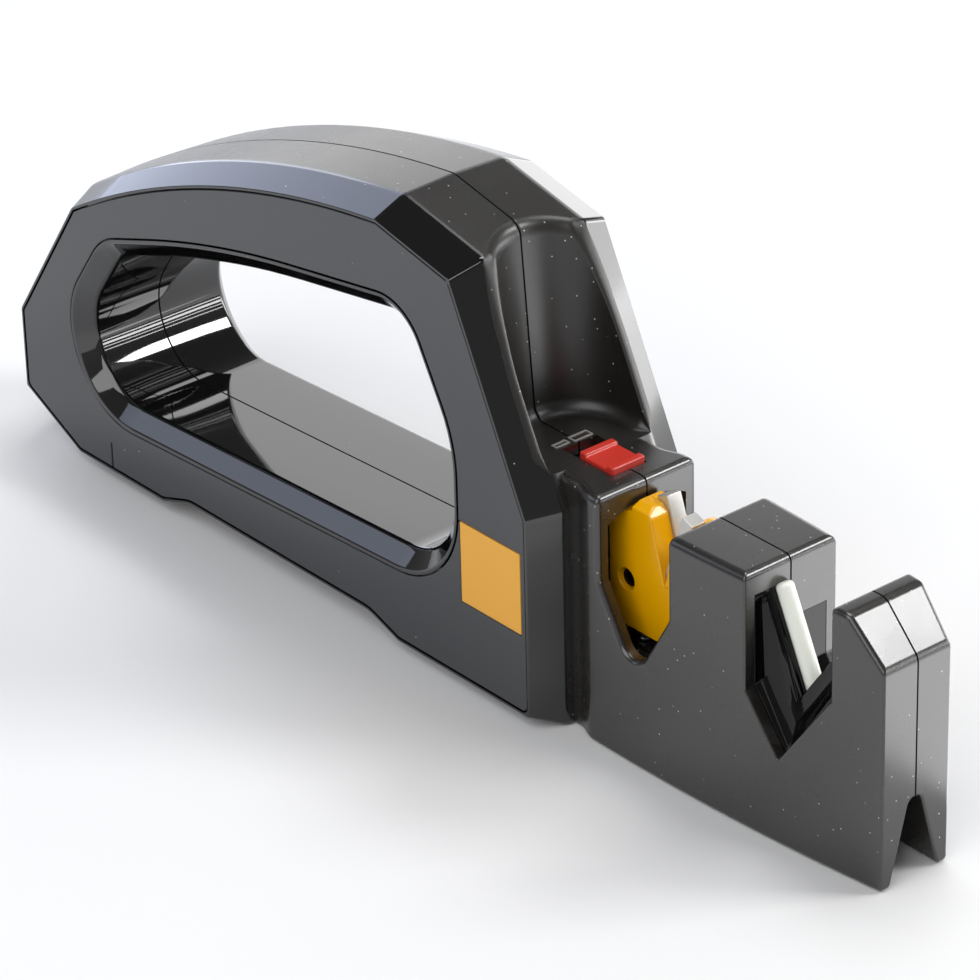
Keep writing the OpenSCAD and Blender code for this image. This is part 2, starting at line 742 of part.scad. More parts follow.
// Whole rocker before it is split at the seam
module rocker_solid() {
    top = pivot_z + rocker_up;
    section = [[-rocker_half, pivot_z - rocker_down], [rocker_half, pivot_z - rocker_down],
        [rocker_half, top - rocker_bevel_h], [rocker_half - rocker_bevel_w, top],
        [-rocker_half + rocker_bevel_w, top], [-rocker_half, top - rocker_bevel_h]];
    difference() {
        translate([at_s(tail_s), 0, 0]) rotate([90, 0, 90])
            linear_extrude(tail_s - slot1_front_s - front_gap) polygon(section);
        funnel();
        block(slot1_rear_s - tail_gap, tail_s + over, -far, far, pivot_z + tail_up, pivot_z + far);
        block(slot1_mid_s, tail_s + over, seam + carbide_w, far, pivot_z + bar_wall_up, pivot_z + far);
        block(0, slot1_mid_s, -far, -seam - carbide_w, pivot_z + bar_wall_up, pivot_z + far);
        along(0, tail_s + over, 0, pivot_z, pin_d + 2 * pin_play);
        carbide(1, seat_play);
        carbide(-1, seat_play);
        for (p = rocker_screw_at) {
            x = at_s(slot1_front_s + p[0]);
            across(x, pivot_z + p[1], rocker_screw_d + 2 * thread_play, -far, rocker_half - screw_stop);
            across(x, pivot_z + p[1], rocker_head_d + 2 * hole_play, -far, -rocker_half / 2);
        }
    }
}

module rocker_right_half() {
    color(yellow) intersection() {
        rocker_solid();
        translate([-far, -2 * far, 0]) cube([3 * far, 2 * far - seam / 2, 2 * far]);
    }
}

module rocker_left_half() {
    color(yellow) intersection() {
        rocker_solid();
        translate([-far, seam / 2, 0]) cube([3 * far, 2 * far, 2 * far]);
    }
}

// Carbide bar, grown by t: side 1 leans back and lies left of the seam, side -1 mirrors it
module carbide(side, t) {
    length = (carbide_top_up - carbide_cross_up) / cos(carbide_lean) + carbide_below;
    translate([at_s(slot1_mid_s), 0, pivot_z + carbide_cross_up])
        rotate([0, -side * carbide_lean, 0])
            translate([side > 0 ? -carbide_t - t : -t, side > 0 ? seam - t : -seam - carbide_w - t,
                       -carbide_below - t])
                cube([carbide_t + 2 * t, carbide_w + 2 * t, length + 2 * t]);
}

module rear_carbide() { color(steel) carbide(1, 0); }
module front_carbide() { color(steel) carbide(-1, 0); }

module rocker_pin() {
    color(steel) along(slot1_front_s - pin_seat + end_play, seat_s + pin_seat - pin_stop - end_play,
        0, pivot_z, pin_d);
}

module rocker_screws() {
    color(steel) for (p = rocker_screw_at) {
        x = at_s(slot1_front_s + p[0]);
        across(x, pivot_z + p[1], rocker_screw_d, -rocker_half / 2 - sink,
               rocker_half - screw_stop - end_play);
        difference() {
            across(x, pivot_z + p[1], rocker_head_d, -rocker_half / 2 - rocker_head_h, -rocker_half / 2);
            translate([x, -rocker_half / 2 - rocker_head_h, pivot_z + p[1]])
                cube([rocker_head_d, drive_w, drive_w], center = true);
        }
    }
}

// Coil spring standing between its seat and the underside of the rocker's tail
module centring_spring(side) {
    low = spring_seat_z + spring_wire / 2;
    high = pivot_z - rocker_down - spring_wire / 2;
    coil_r = (spring_d - spring_wire) / 2;
    rings = spring_turns * turn_rings;
    ring_at = function(i)
        let (a = i * 360 / turn_rings, z = low + (high - low) * i / rings)
        [for (k = [0:wire_sides - 1])
            let (b = k * 360 / wire_sides, r = coil_r + spring_wire / 2 * cos(b))
            [r * cos(a), r * sin(a), z + spring_wire / 2 * sin(b)]];
    tube = [for (i = [0:rings]) ring_at(i)];
    sides = [for (i = [0:rings - 1]) for (k = [0:wire_sides - 1])
        let (p = i * wire_sides, q = p + wire_sides, j = (k + 1) % wire_sides)
        each [[q + j, p + j, p + k], [q + k, q + j, p + k]]];
    last = rings * wire_sides;
    ends = [for (k = [1:wire_sides - 2]) each [[k, k + 1, 0], [last + k + 1, last + k, last]]];
    gaps = [for (i = [0:rings - turn_rings]) for (p = tube[i]) for (q = tube[i + turn_rings]) norm(p - q)];
    echo(str("least gap between the turns of a centring spring: ", min(gaps), " mm"));
    translate([at_s(spring_s), side * spring_y, 0])
        polyhedron([for (ring = tube) each ring], concat(sides, ends));
}

module right_centring_spring() { color(steel) centring_spring(-1); }
module left_centring_spring() { color(steel) centring_spring(1); }

// Thumb slider: plate with two ridges, neck through the deck, flange and leg below it
module lock_slider() {
    plate_z = deck_z + slide_play;
    top_z = plate_z + button_h;
    color(red) difference() {
        union() {
            block(button_s, button_s + button_l, -button_half, button_half, flange_z + sink, top_z);
            for (s = [button_s, button_s + button_l - ridge_w])
                block(s, s + ridge_w, -button_half, button_half, top_z - sink, top_z + ridge_h);
            block(flange_s, flange_s + flange_l, -flange_half, flange_half, flange_z, flange_z + flange_t);
            block(leg_s, leg_s + leg_l, -rail_in + leg_play, rail_in - leg_play,
                  pivot_z + leg_up, flange_z + sink);
        }
        block(leaf_s, leaf_s + leaf_l, -leaf_half - seat_play, leaf_half + seat_play,
              flange_z + flange_t - leaf_t, flange_z + flange_t + over);
        block(0, flange_s, -far, far, 0, roof_z - slide_play);
    }
}

module lock_shoe() {
    color(rubber) block(leg_s - shoe_t, leg_s, -button_half, button_half,
        pivot_z + leg_up, pivot_z + leg_up + shoe_h);
}

// Leaf on the slider's flange, with a bump that drops into the notches of the deck
module detent_spring() {
    leaf_z = flange_z + flange_t - leaf_t;
    color(steel) difference() {
        union() {
            block(leaf_s, leaf_s + leaf_l, -leaf_half, leaf_half, leaf_z, leaf_z + leaf_t);
            translate([at_s(bump_s), 0, leaf_z + leaf_t / 2]) rotate([90, 0, 0])
                cylinder(d = bump_d, h = 2 * leaf_half, center = true);
        }
        block(leaf_s - over, leaf_s + leaf_l + over, -far, far, 0, leaf_z);
    }
}

// Plane behind a rod on which it is bedded, as an outline in the XZ plane
module rear_backing(t) {
    bed = function(z) slot2_mid_s + (z - rod_cross_z) * tan(rod_lean) + rod_proud - t;
    low = slot2_tip_z + bed_up;
    high = rod_top_z + rod_d / 2 + t;
    intersection() {
        prism([[at_s(bed(low)), low], [at_s(bed(high)), high],
               [at_s(slot2_rear_s + cradle_wall + t), high],
               [at_s(slot2_rear_s + cradle_wall + t), slot2_shoulder_rear],
               [at_s(slot2_tip_s), low - cradle_wall]], -far, -seam);
        nose_bow(nose_wall + seat_play - t);
    }
}

module front_backing(t) {
    bed = function(z) slot2_mid_s - (z - rod_cross_z) * tan(rod_lean) - rod_proud + t;
    low = slot2_tip_z + bed_up;
    high = rod_top_z + rod_d / 2 + t;
    intersection() {
        prism([[at_s(slot2_front_s - cradle_wall - t), slot2_shoulder_front],
               [at_s(slot2_front_s - cradle_wall - t), high], [at_s(bed(high)), high],
               [at_s(bed(low)), low], [at_s(slot2_tip_s), low - cradle_wall]], -far, -seam);
        nose_bow(nose_wall + seat_play - t);
    }
}

// Gloss insert of the second slot: a liner with a bed for each rod and flared mouths
module rod_cradle() {
    color(gloss_black) difference() {
        union() {
            intersection() {
                difference() {
                    prism(rounded(moved(slot2_corners, cradle_wall)), -far, far);
                    prism(rounded(slot2_corners), -far, far);
                }
                translate([at_s(far), -far, 0]) cube([far, 2 * far, cradle_z]);
                nose_bow(nose_wall + seat_play);
                mirror([0, 1, 0]) nose_bow(nose_wall + seat_play);
            }
            rear_backing(0);
            mirror([0, 1, 0]) front_backing(0);
        }
        rod(1, seat_play);
        rod(-1, seat_play);
        mouth(1);
        mouth(-1);
    }
}

// Flare that opens one bed towards the side of the nose
module mouth(side) {
    x = at_s(slot2_mid_s) - side * (rod_top_z - rod_cross_z) / 2 * tan(rod_lean);
    translate([x, -side * (rod_d + rod_gap + mouth_gap), (rod_top_z + rod_cross_z) / 2])
        rotate([0, -side * rod_lean, 0]) rotate([0, 0, 45]) cube([flare_w, flare_w, far / 2], center = true);
}

// Ceramic rod: side 1 leans back and lies right of the seam, side -1 mirrors it
module rod(side, t) {
    length = (rod_top_z - rod_cross_z) / cos(rod_lean);
    translate([at_s(slot2_mid_s), -side * (rod_d + rod_gap) / 2, rod_cross_z])
        rotate([0, -side * rod_lean, 0]) translate([0, 0, -rod_below - t])
            cylinder(d = rod_d + 2 * t, h = length + rod_below + 2 * t);
}

module rear_ceramic_rod() { color(ceramic) rod(1, 0); }
module front_ceramic_rod() { color(ceramic) rod(-1, 0); }

// Pan head screw along Y with a cross slot, its head seated at y
module casing_screw(x, z, y, thread) {
    across(x, z, screw_d, -thread, y + sink);
    difference() {
        across(x, z, head_d, y, y + head_h);
        for (a = [0, 90])
            translate([x, y + head_h, z]) rotate([0, a, 0]) cube([screw_d, head_h, drive_w], center = true);
    }
}

module handle_screws() {
    color(steel) for (p = handle_screw_at) casing_screw(at_in(p[0]), p[1], seat_y, thread_l);
}

module nose_screws() {
    color(steel) for (p = nose_screw_at) casing_screw(at_s(p[0]), p[1], nose_seat_y, nose_thread_l);
}

module foot_pad(foot_l, foot_in) {
    s0 = panel_front_s + foot_in + pad_in + seat_play;
    block(s0, s0 + foot_l - 2 * (pad_in + seat_play), -pad_half, pad_half, 0, pad_t);
}

module front_foot_pad() { color(rubber) foot_pad(front_foot_l, 0); }
module rear_foot_pad() { color(rubber) foot_pad(rear_foot_l, rear_foot_in); }

right_casing();
left_casing();
right_side_panel();
left_side_panel();
right_label();
left_label();
rocker_right_half();
rocker_left_half();
rear_carbide();
front_carbide();
rocker_pin();
right_centring_spring();
left_centring_spring();
rocker_screws();
lock_slider();
lock_shoe();
detent_spring();
rod_cradle();
rear_ceramic_rod();
front_ceramic_rod();
handle_screws();
nose_screws();
front_foot_pad();
rear_foot_pad();
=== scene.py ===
"""Knife sharpener with a loop handle, dressed for the studio.

Lengths below are millimetres: s runs backwards from the nose tip, y to the left, z up.
Meshes are made in metres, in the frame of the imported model.
"""

import math

import bmesh
import bpy
from mathutils import Matrix, Vector


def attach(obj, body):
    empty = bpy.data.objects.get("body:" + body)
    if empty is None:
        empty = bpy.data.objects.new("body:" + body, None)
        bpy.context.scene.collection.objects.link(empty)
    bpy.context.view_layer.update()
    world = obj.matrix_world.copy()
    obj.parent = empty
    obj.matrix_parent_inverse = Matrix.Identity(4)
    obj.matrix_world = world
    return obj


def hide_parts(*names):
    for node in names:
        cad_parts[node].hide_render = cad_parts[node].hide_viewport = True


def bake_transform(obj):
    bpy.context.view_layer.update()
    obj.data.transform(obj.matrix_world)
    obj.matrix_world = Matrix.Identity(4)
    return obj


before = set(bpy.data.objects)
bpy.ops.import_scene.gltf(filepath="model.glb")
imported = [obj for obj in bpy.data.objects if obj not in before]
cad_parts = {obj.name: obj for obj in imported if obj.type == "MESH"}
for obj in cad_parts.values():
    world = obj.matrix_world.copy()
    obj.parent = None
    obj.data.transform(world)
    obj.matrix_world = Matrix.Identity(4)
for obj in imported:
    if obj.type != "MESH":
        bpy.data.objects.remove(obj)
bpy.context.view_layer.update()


# Sizes that several pieces share

MM = 0.001
TIP_X = 111.5
# Distances past the part, for tools that cut right through it
FAR = 60
SKY = FAR + 20
PAST_SEAM = 1
# Room round a piece that lies in another
PLAY = 0.05

# Handle: seam, flat crest, sloping bands, and the panels let into its sides
SEAM = 0.08
SEAM_ROUND = 0.14
NEAR_SEAM = 0.2
CREST_HALF = 10.8
CREST_OUT = 3.5
CREST_ROUND = 0.7
CROWN_RISE = 0.4
FACE_HALF = 17.1
PANEL_T = 1.8
PANEL_SUNK = 0.05
GAP = 0.3
LIP = 0.45
LIP_ROUND = 0.14
RIM_W = 4.2
LABEL_S = (77.3, 92.8)
LABEL_Z = (18.4, 33.9)
LABEL_GAP = 0.15
LABEL_BED = 0.5

# Thumb scoop: a leaning round channel
SCOOP_R = 11.2
SCOOP_BACK = 92.6
SCOOP_LEAN = math.tan(math.radians(5))
SCOOP_FILLET = 2.4
SCOOP_RIM_DOWN = 2.6
SCOOP_RIM_OUT = 2.3

# Nose: profile, bowed sides, guide groove, and the valley where it meets the handle
DECK_Z = 47.5
ROOF_Z = 45.3
TIP_FRONT_Z = 41.2
TIP_TOP_Z = 49
TIP_SLOPE_S = 7.5
NOSE_END = 80
NOSE_HALF = 11.1
NOSE_WIDE_S = 57.7
NOSE_BOW_R = 455
VALLEY_S = (66.4, 71.2)
VALLEY_DEPTH = 1.3
NOSE_STATIONS = ([-3 + 6 * k for k in range(12)] + [VALLEY_S[0] + 0.4 * k for k in range(13)]
                 + [NOSE_END])
GROOVE_L = 13
NOSE_SCREWS = ((6, 29), (36.5, 9.5))

# First slot with the rocker
PIVOT_Z = 26.4
SLOT1 = (47.2, 64.3)
SLOT1_MID = 55.75
SLOT1_KNEE_Z = 31.8
SLOT1_V = math.radians(30)
PIT_HALF = 8.7
PIT_Z = 14
ROCKER_SCREWS = ((65.2, 29.4), (51.0, 31.6))

# Second slot with the rods and their cradle
SLOT2 = (11.2, 29.4)
SLOT2_MID = 20.3
SLOT2_FRONT_Z = 31.26
SLOT2_REAR_Z = 26.22
SLOT2_FOOT = (22.1, 16.0)
ROD_LEAN = math.radians(25)
ROD_CROSS_Z = 24.4
ROD_R = 1.6
ROD_Y = 1.85
CRADLE_T = 1.8
CRADLE_INSET = 2.25
CRADLE_TOP = 36
BED_Z = (17.0, 45.0)

# Slider and foot pads
SLIDER_S = (68.7, 77.2)
SLIDER_HALF = 3.6
LEG_S = (72.65, 75.85)
LEG_LOW = 33
PADS = (("front", 79.65, 107.05), ("rear", 181.95, 200.55))
PAD_HALF = 8.4
PAD_TOP = 1.4

SIDES = (("right", False), ("left", True))


# Outlines in the side view, as corners (s, z, radius) read from the front foot up, over and back

PANEL = [(76.2, 3.5, 1.2), (76.2, 40.7, 1.2), (94.4, 78.5, 1.2), (112.8, 82.5, 1.2),
         (159.75, 77.06, 217), (201.1, 53.4, 1.2), (219.5, 26.5, 1.5), (219.5, 11, 1.5),
         (204, 3.5, 1.5), (178.5, 3.5, 1.5), (170.5, 6.2, 10), (118.5, 6.2, 10), (110.5, 3.5, 1.5)]
HOLE = [(93.2, 17.8, 18), (93.2, 48.5, 26), (105.7, 71.1, 11), (158.6, 62.7, 250),
        (193.3, 50.9, 14), (221.5, 11.4, 16.8)]
# How much of the crown each side of the panel's outline takes: none in front and below
CROWN = [0, 0.6, 1, 1, 1, 1, 0.6, 0.2, 0, 0, 0, 0, 0]


def moved(corners, out):
    """Corners with each side moved outwards by its own distance, or all by one number."""
    least_radius = 0.25
    n = len(corners)
    dist = out if isinstance(out, (list, tuple)) else [out] * n
    points = flat(corners)
    sides = []
    for i in range(n):
        u = (points[(i + 1) % n] - points[i]).normalized()
        normal = Vector((-u.y, u.x))
        sides.append((points[i] + normal * dist[i], u))
    result = []
    for i in range(n):
        (p, u), (q, v) = sides[i - 1], sides[i]
        cross = u.x * v.y - u.y * v.x
        corner = p + u * (((q - p).x * v.y - (q - p).y * v.x) / cross)
        convex = cross < 0
        grow = (dist[i - 1] + dist[i]) / 2
        radius = corners[i][2] + (grow if convex else -grow)
        result.append((corner.x, corner.y, max(radius, least_radius) if corners[i][2] else 0))
    return result


def rounded(corners, step=5.0):
    """Points of an outline with rounded corners; a moved copy gets as many points.

    An arc has a point every step degrees, or every wide_step on a wide one.
    """
    wide_radius, wide_step = 100, 1.2
    n = len(corners)
    points = flat(corners)
    result = []
    for i in range(n):
        a, b, c, r = points[i - 1], points[i], points[(i + 1) % n], corners[i][2]
        if not r:
            result.append(b)
            continue
        u, v = (a - b).normalized(), (c - b).normalized()
        half = math.acos(max(-1, min(1, u.dot(v)))) / 2
        middle = b + (u + v).normalized() * (r / math.sin(half))
        p, q = b + u * (r / math.tan(half)) - middle, b + v * (r / math.tan(half)) - middle
        turn = math.atan2(p.x * q.y - p.y * q.x, p.dot(q))
        start = math.atan2(p.y, p.x)
        fine = step if r < wide_radius else wide_step
        count = max(3, math.ceil(abs(math.degrees(turn)) / fine))
        for k in range(count + 1):
            angle = start + turn * k / count
            result.append(middle + Vector((math.cos(angle), math.sin(angle))) * r)
    return result


def flat(corners):
    return [Vector((c[0], c[1])) for c in corners]


# Solids

def place(s, y, z):
    return Vector((TIP_X - s, y, z)) * MM


def new_object(name, bm):
    bmesh.ops.recalc_face_normals(bm, faces=bm.faces)
    mesh = bpy.data.meshes.new(name)
    bm.to_mesh(mesh)
    bm.free()
    obj = bpy.data.objects.new(name, mesh)
    bpy.context.scene.collection.objects.link(obj)
    return obj


def bridge(name, rings):
    """Closed solid through rings of places, all of equal count."""
    bm = bmesh.new()
    rings = [[bm.verts.new(point) for point in ring] for ring in rings]
    count = len(rings[0])
    for low, high in zip(rings, rings[1:]):
        for i in range(count):
            j = (i + 1) % count
            bm.faces.new((low[i], low[j], high[j], high[i]))
    bm.faces.new(rings[0])
    bm.faces.new(rings[-1])
    return new_object(name, bm)


def loft(name, rows):
    """Closed solid through outlines of equal count, each as (y, points in the side view)."""
    return bridge(name, [[place(p.x, y, p.y) for p in points] for y, points in rows])


def prism(name, points, y0, y1):
    return loft(name, [(y0, points), (y1, points)])


def upright(name, outline, low, high):
    """Upright prism on a plan outline of (s, y)."""
    return bridge(name, [[place(s, y, z) for s, y in outline] for z in (low, high)])


def lengthwise(name, section, start, end):
    """Prism along the nose on a cross section of (y, z)."""
    return bridge(name, [[place(s, y, z) for y, z in section] for s in (start, end)])


def block(name, s0, s1, y0, y1, z0, z1):
    return prism(name, flat([(s0, z0), (s1, z0), (s1, z1), (s0, z1)]), y0, y1)


def rod(name, start, end, radius, sides=48):
    """Closed cylinder between two places."""
    axis = end - start
    turn = axis.to_track_quat("Z", "Y").to_matrix().to_4x4()
    bm = bmesh.new()
    bmesh.ops.create_cone(bm, cap_ends=True, segments=sides, radius1=radius * MM,
                          radius2=radius * MM, depth=axis.length,
                          matrix=Matrix.Translation((start + end) / 2) @ turn)
    return new_object(name, bm)


def across(name, s, z, radius, y0, y1):
    return rod(name, place(s, y0, z), place(s, y1, z), radius)


def applied(obj):
    """The object with its modifiers made part of its mesh."""
    graph = bpy.context.evaluated_depsgraph_get()
    mesh = bpy.data.meshes.new_from_object(obj.evaluated_get(graph))
    obj.modifiers.clear()
    old, obj.data = obj.data, mesh
    mesh.name = obj.name
    bpy.data.meshes.remove(old)
    return obj


def combine(obj, others, operation):
    for other in others:
        step = obj.modifiers.new("combine", "BOOLEAN")
        step.operation, step.solver, step.object = operation, "EXACT", other
        applied(obj)
        old = other.data
        bpy.data.objects.remove(other)
        bpy.data.meshes.remove(old)
    return obj


def cut(obj, *others):
    return combine(obj, others, "DIFFERENCE")


def join(obj, *others):
    return combine(obj, others, "UNION")


def meet(obj, other):
    return combine(obj, [other], "INTERSECT")


def mirrored(obj):
    """The object turned into its left-hand copy."""
    bm = bmesh.new()
    bm.from_mesh(obj.data)
    bmesh.ops.scale(bm, vec=(1, -1, 1), verts=bm.verts)
    bmesh.ops.reverse_faces(bm, faces=bm.faces)
    bm.to_mesh(obj.data)
    bm.free()
    return obj


def round_edges(obj, width, segments=3, sharp=22):
    """Rounds each edge that bends by more than sharp degrees.

    The width is in millimetres, one number or a function of the edge's middle (s, y, z).
    """
    widest, merge = 3.0, 0.004
    bm = bmesh.new()
    bm.from_mesh(obj.data)
    bmesh.ops.remove_doubles(bm, verts=bm.verts, dist=merge * MM)
    bmesh.ops.dissolve_degenerate(bm, edges=bm.edges, dist=merge * MM)
    weight = bm.edges.layers.float.new("bevel_weight_edge")
    for edge in bm.edges:
        if len(edge.link_faces) != 2 or edge.calc_face_angle(0) < math.radians(sharp):
            continue
        mid = (edge.verts[0].co + edge.verts[1].co) / 2 / MM
        wanted = width(TIP_X - mid.x, mid.y, mid.z) if callable(width) else width
        edge[weight] = wanted / widest
    bm.to_mesh(obj.data)
    bm.free()
    bevel = obj.modifiers.new("round", "BEVEL")
    bevel.limit_method, bevel.width, bevel.segments = "WEIGHT", widest * MM, segments
    bevel.use_clamp_overlap = False
    bevel.loop_slide = False
    bevel.harden_normals = False
    bevel.miter_outer = "MITER_ARC"
    applied(obj)
    obj.data.attributes.remove(obj.data.attributes["bevel_weight_edge"])
    return obj


def smooth(obj, angle=30):
    """The object with smooth shading that leaves flat faces flat and edges over angle sharp."""
    for face in obj.data.polygons:
        face.use_smooth = True
    obj.data.set_sharp_from_angle(angle=math.radians(angle))
    weigh = obj.modifiers.new("weigh", "WEIGHTED_NORMAL")
    weigh.mode, weigh.keep_sharp = "FACE_AREA", True
    return applied(obj)


def coat(obj, material):
    """The object in one material."""
    obj.data.materials.clear()
    obj.data.materials.append(material)
    return obj


def finish_piece(obj, body, slot, *nodes):
    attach(obj, body)
    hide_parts(*nodes)


# Materials

DUST = "#b9b4aa"
MOTE_R = 0.13
PATCH_W = 9
GRAIN_DEPTH = 0.05
LEAST_ROUGH = 0.02
MARK_DEPTH = 0.03
MARK_SMOOTHER, MARK_ROUGHER = 0.08, 0.1


def colour(code):
    """Linear RGBA of an sRGB hex value."""
    parts = [int(code[i:i + 2], 16) / 255 for i in (1, 3, 5)]
    return [p / 12.92 if p <= 0.04045 else ((p + 0.055) / 1.055) ** 2.4 for p in parts] + [1]


def add(tree, kind, links=None, **settings):
    """Adds a node: settings go to its properties or, failing that, its inputs; links to its inputs.

    A setting named i and a number goes to the input of that number.
    """
    node = tree.nodes.new(kind)
    for key, value in settings.items():
        if hasattr(node, key):
            setattr(node, key, value)
        elif key[0] == "i" and key[1:].isdigit():
            node.inputs[int(key[1:])].default_value = value
        else:
            node.inputs[key.replace("_", " ")].default_value = value
    for key, source in (links or {}).items():
        tree.links.new(source, node.inputs[key])
    return node


def new_material(name, base):
    """Material of one colour; returns it with its tree, shader and object coordinates."""
    mat = bpy.data.materials.new(name)
    mat.use_nodes = True
    tree = mat.node_tree
    shader = tree.nodes["Principled BSDF"]
    shader.inputs["Base Color"].default_value = colour(base)
    return mat, tree, shader, add(tree, "ShaderNodeTexCoord").outputs["Object"]


def moulded_plastic(name, base, rough, grain_mm, bump, ior=1.5, vary=0.0, motes_mm=0.0):
    """Injection-moulded plastic: mould grain breaks the highlight, handling dulls it in patches.

    Dark plastic draws dust: motes of radius MOTE_R, one to a cell of motes_mm.
    """
    mat, tree, shader, place_in = new_material(name, base)
    shader.inputs["IOR"].default_value = ior
    if motes_mm:
        cells = add(tree, "ShaderNodeTexVoronoi", {"Vector": place_in}, Scale=1 / (motes_mm * MM))
        mote = add(tree, "ShaderNodeMath", {0: cells.outputs["Distance"]}, operation="LESS_THAN",
                   i1=MOTE_R / motes_mm)
        tint = add(tree, "ShaderNodeMix", {0: mote.outputs[0]}, data_type="RGBA",
                   i6=colour(base), i7=colour(DUST))
        tree.links.new(tint.outputs[2], shader.inputs["Base Color"])
    patch = add(tree, "ShaderNodeTexNoise", {"Vector": place_in}, Scale=1 / (PATCH_W * MM),
                Detail=3.0)
    spread = add(tree, "ShaderNodeMapRange", {"Value": patch.outputs["Fac"]},
                 To_Min=max(rough - vary, LEAST_ROUGH), To_Max=rough + vary)
    tree.links.new(spread.outputs["Result"], shader.inputs["Roughness"])
    grain = add(tree, "ShaderNodeTexNoise", {"Vector": place_in}, Scale=1 / (grain_mm * MM),
                Detail=2.0)
    relief = add(tree, "ShaderNodeBump", {"Height": grain.outputs["Fac"]}, Strength=bump,
                 Distance=GRAIN_DEPTH * MM)
    tree.links.new(relief.outputs["Normal"], shader.inputs["Normal"])
    return mat


def ground_metal(name, base, rough, metallic, lines_mm, bump):
    """Ground metal: parallel grinding marks stretch the highlight across them."""
    mat, tree, shader, place_in = new_material(name, base)
    shader.inputs["Metallic"].default_value = metallic
    stretch = add(tree, "ShaderNodeMapping", {"Vector": place_in}, Scale=(1, 0.08, 1))
    marks = add(tree, "ShaderNodeTexNoise", {"Vector": stretch.outputs["Vector"]},
                Scale=1 / (lines_mm * MM), Detail=3.0)
    spread = add(tree, "ShaderNodeMapRange", {"Value": marks.outputs["Fac"]},
                 To_Min=rough - MARK_SMOOTHER, To_Max=rough + MARK_ROUGHER)
    tree.links.new(spread.outputs["Result"], shader.inputs["Roughness"])
    relief = add(tree, "ShaderNodeBump", {"Height": marks.outputs["Fac"]}, Strength=bump,
                 Distance=MARK_DEPTH * MM)
    tree.links.new(relief.outputs["Normal"], shader.inputs["Normal"])
    return mat


# Satin ABS: a fine spark-eroded grain spreads the highlight into a soft sheen
satin_black = moulded_plastic("moulded_abs_satin_black", "#1f1d1b", rough=0.27, grain_mm=0.35,
                              bump=0.10, ior=1.8, vary=0.03, motes_mm=2.2)
# The scoop's ABS: duller where the thumb rests
scoop_black = moulded_plastic("moulded_abs_scoop_black", "#1c1a18", rough=0.36, grain_mm=0.35,
                              bump=0.12, ior=1.65, vary=0.04, motes_mm=2.0)
# Coarse ABS of the raised marks: pale colour as a painted highlight on their raised lines
marks_highlight_grey = moulded_plastic("moulded_abs_painted_highlight_grey", "#7b7975", rough=0.4, grain_mm=0.3,
                             bump=0.25, vary=0.1)
# Inside of the seam: painted shade of the narrow gap keeps it black
seam_shade_black = moulded_plastic("moulded_abs_seam_shade_black", "#050505", rough=0.6, grain_mm=0.35,
                             bump=0.1, ior=1.2)
# Polished ABS: a mirror sheen with the faintest waviness of a polished mould
gloss_black = moulded_plastic("polished_abs_gloss_black", "#0b0b0c", rough=0.05, grain_mm=1.2,
                              bump=0.008, ior=1.8, vary=0.015, motes_mm=5)
# The cradle's ABS: polished too, its colour darkened and its reflection dimmed as painted shade of
# its place deep in the slot
cradle_shade_black = moulded_plastic("polished_abs_deep_shade_black", "#060606", rough=0.06, grain_mm=1.2,
                               bump=0.008, ior=1.38, vary=0.015)
# Panel ABS: smooth and cooler than the casing, so that reflections show in it as soft gradients
panel_black = moulded_plastic("moulded_abs_panel_slate_black", "#292b2f", rough=0.2, grain_mm=0.3,
                              bump=0.02, ior=1.7, vary=0.02, motes_mm=5)
# Coloured ABS: saturated, with a smooth mould finish that keeps small bright highlights
rocker_yellow = moulded_plastic("moulded_abs_yellow", "#eaa800", rough=0.2, grain_mm=0.5,
                                bump=0.02, vary=0.03)
slider_red = moulded_plastic("moulded_abs_red", "#c3352a", rough=0.22, grain_mm=0.5,
                             bump=0.03, vary=0.03)
# Printed film: flat and even, without the plastic's sheen
label_orange = moulded_plastic("printed_film_orange", "#e9aa3d", rough=0.5, grain_mm=0.3,
                               bump=0.02, vary=0.04)
# Rubber: dull, with a coarse grain that swallows highlights
rubber_black = moulded_plastic("moulded_rubber_black", "#1c1c1c", rough=0.7, grain_mm=0.5,
                               bump=0.2, vary=0.05)
# Alumina: white with a green cast, fine grit dulls its surface
ceramic_white = moulded_plastic("sintered_alumina_ceramic", "#eef1e7", rough=0.45, grain_mm=0.25,
                                bump=0.15, ior=1.76, vary=0.05)
# Tungsten carbide: ground bright, its marks so fine that it looks almost even
carbide_grey = ground_metal("ground_tungsten_carbide", "#d2d1cd", rough=0.3, metallic=0.75,
                            lines_mm=0.3, bump=0.03)
# Steel: turned and zinc plated, greyer than the carbide
steel_grey = ground_metal("turned_steel", "#b9bcc0", rough=0.3, metallic=1.0,
                          lines_mm=0.3, bump=0.1)
# Steel darkened to paint the shade of the slot and holes where it sits: the leaf spring and the
# small screws of the rocker
shade_dark_steel = ground_metal("steel_dark_for_painted_shade", "#24252b", rough=0.35, metallic=1.0,
                           lines_mm=0.3, bump=0.1)


# Casing

CREST, BAND, SCOOP, GROOVE_SHADE = 0, 1, 2, 3
FINISHES = (satin_black, gloss_black, scoop_black, seam_shade_black)


def tagged(obj, tag=CREST):
    """Marks the faces of a casing solid with the finish they take, which booleans keep."""
    for mat in FINISHES:
        obj.data.materials.append(mat)
    for face in obj.data.polygons:
        face.material_index = tag
    return obj


def nose_width(s):
    """Half width of the bowed nose, drawn in to a shallow valley where it meets the handle."""
    t = min(max((s - VALLEY_S[0]) / (VALLEY_S[1] - VALLEY_S[0]), 0), 1)
    return (NOSE_HALF - NOSE_BOW_R + math.sqrt(NOSE_BOW_R ** 2 - (s - NOSE_WIDE_S) ** 2)
            - VALLEY_DEPTH * t * t * (3 - 2 * t))


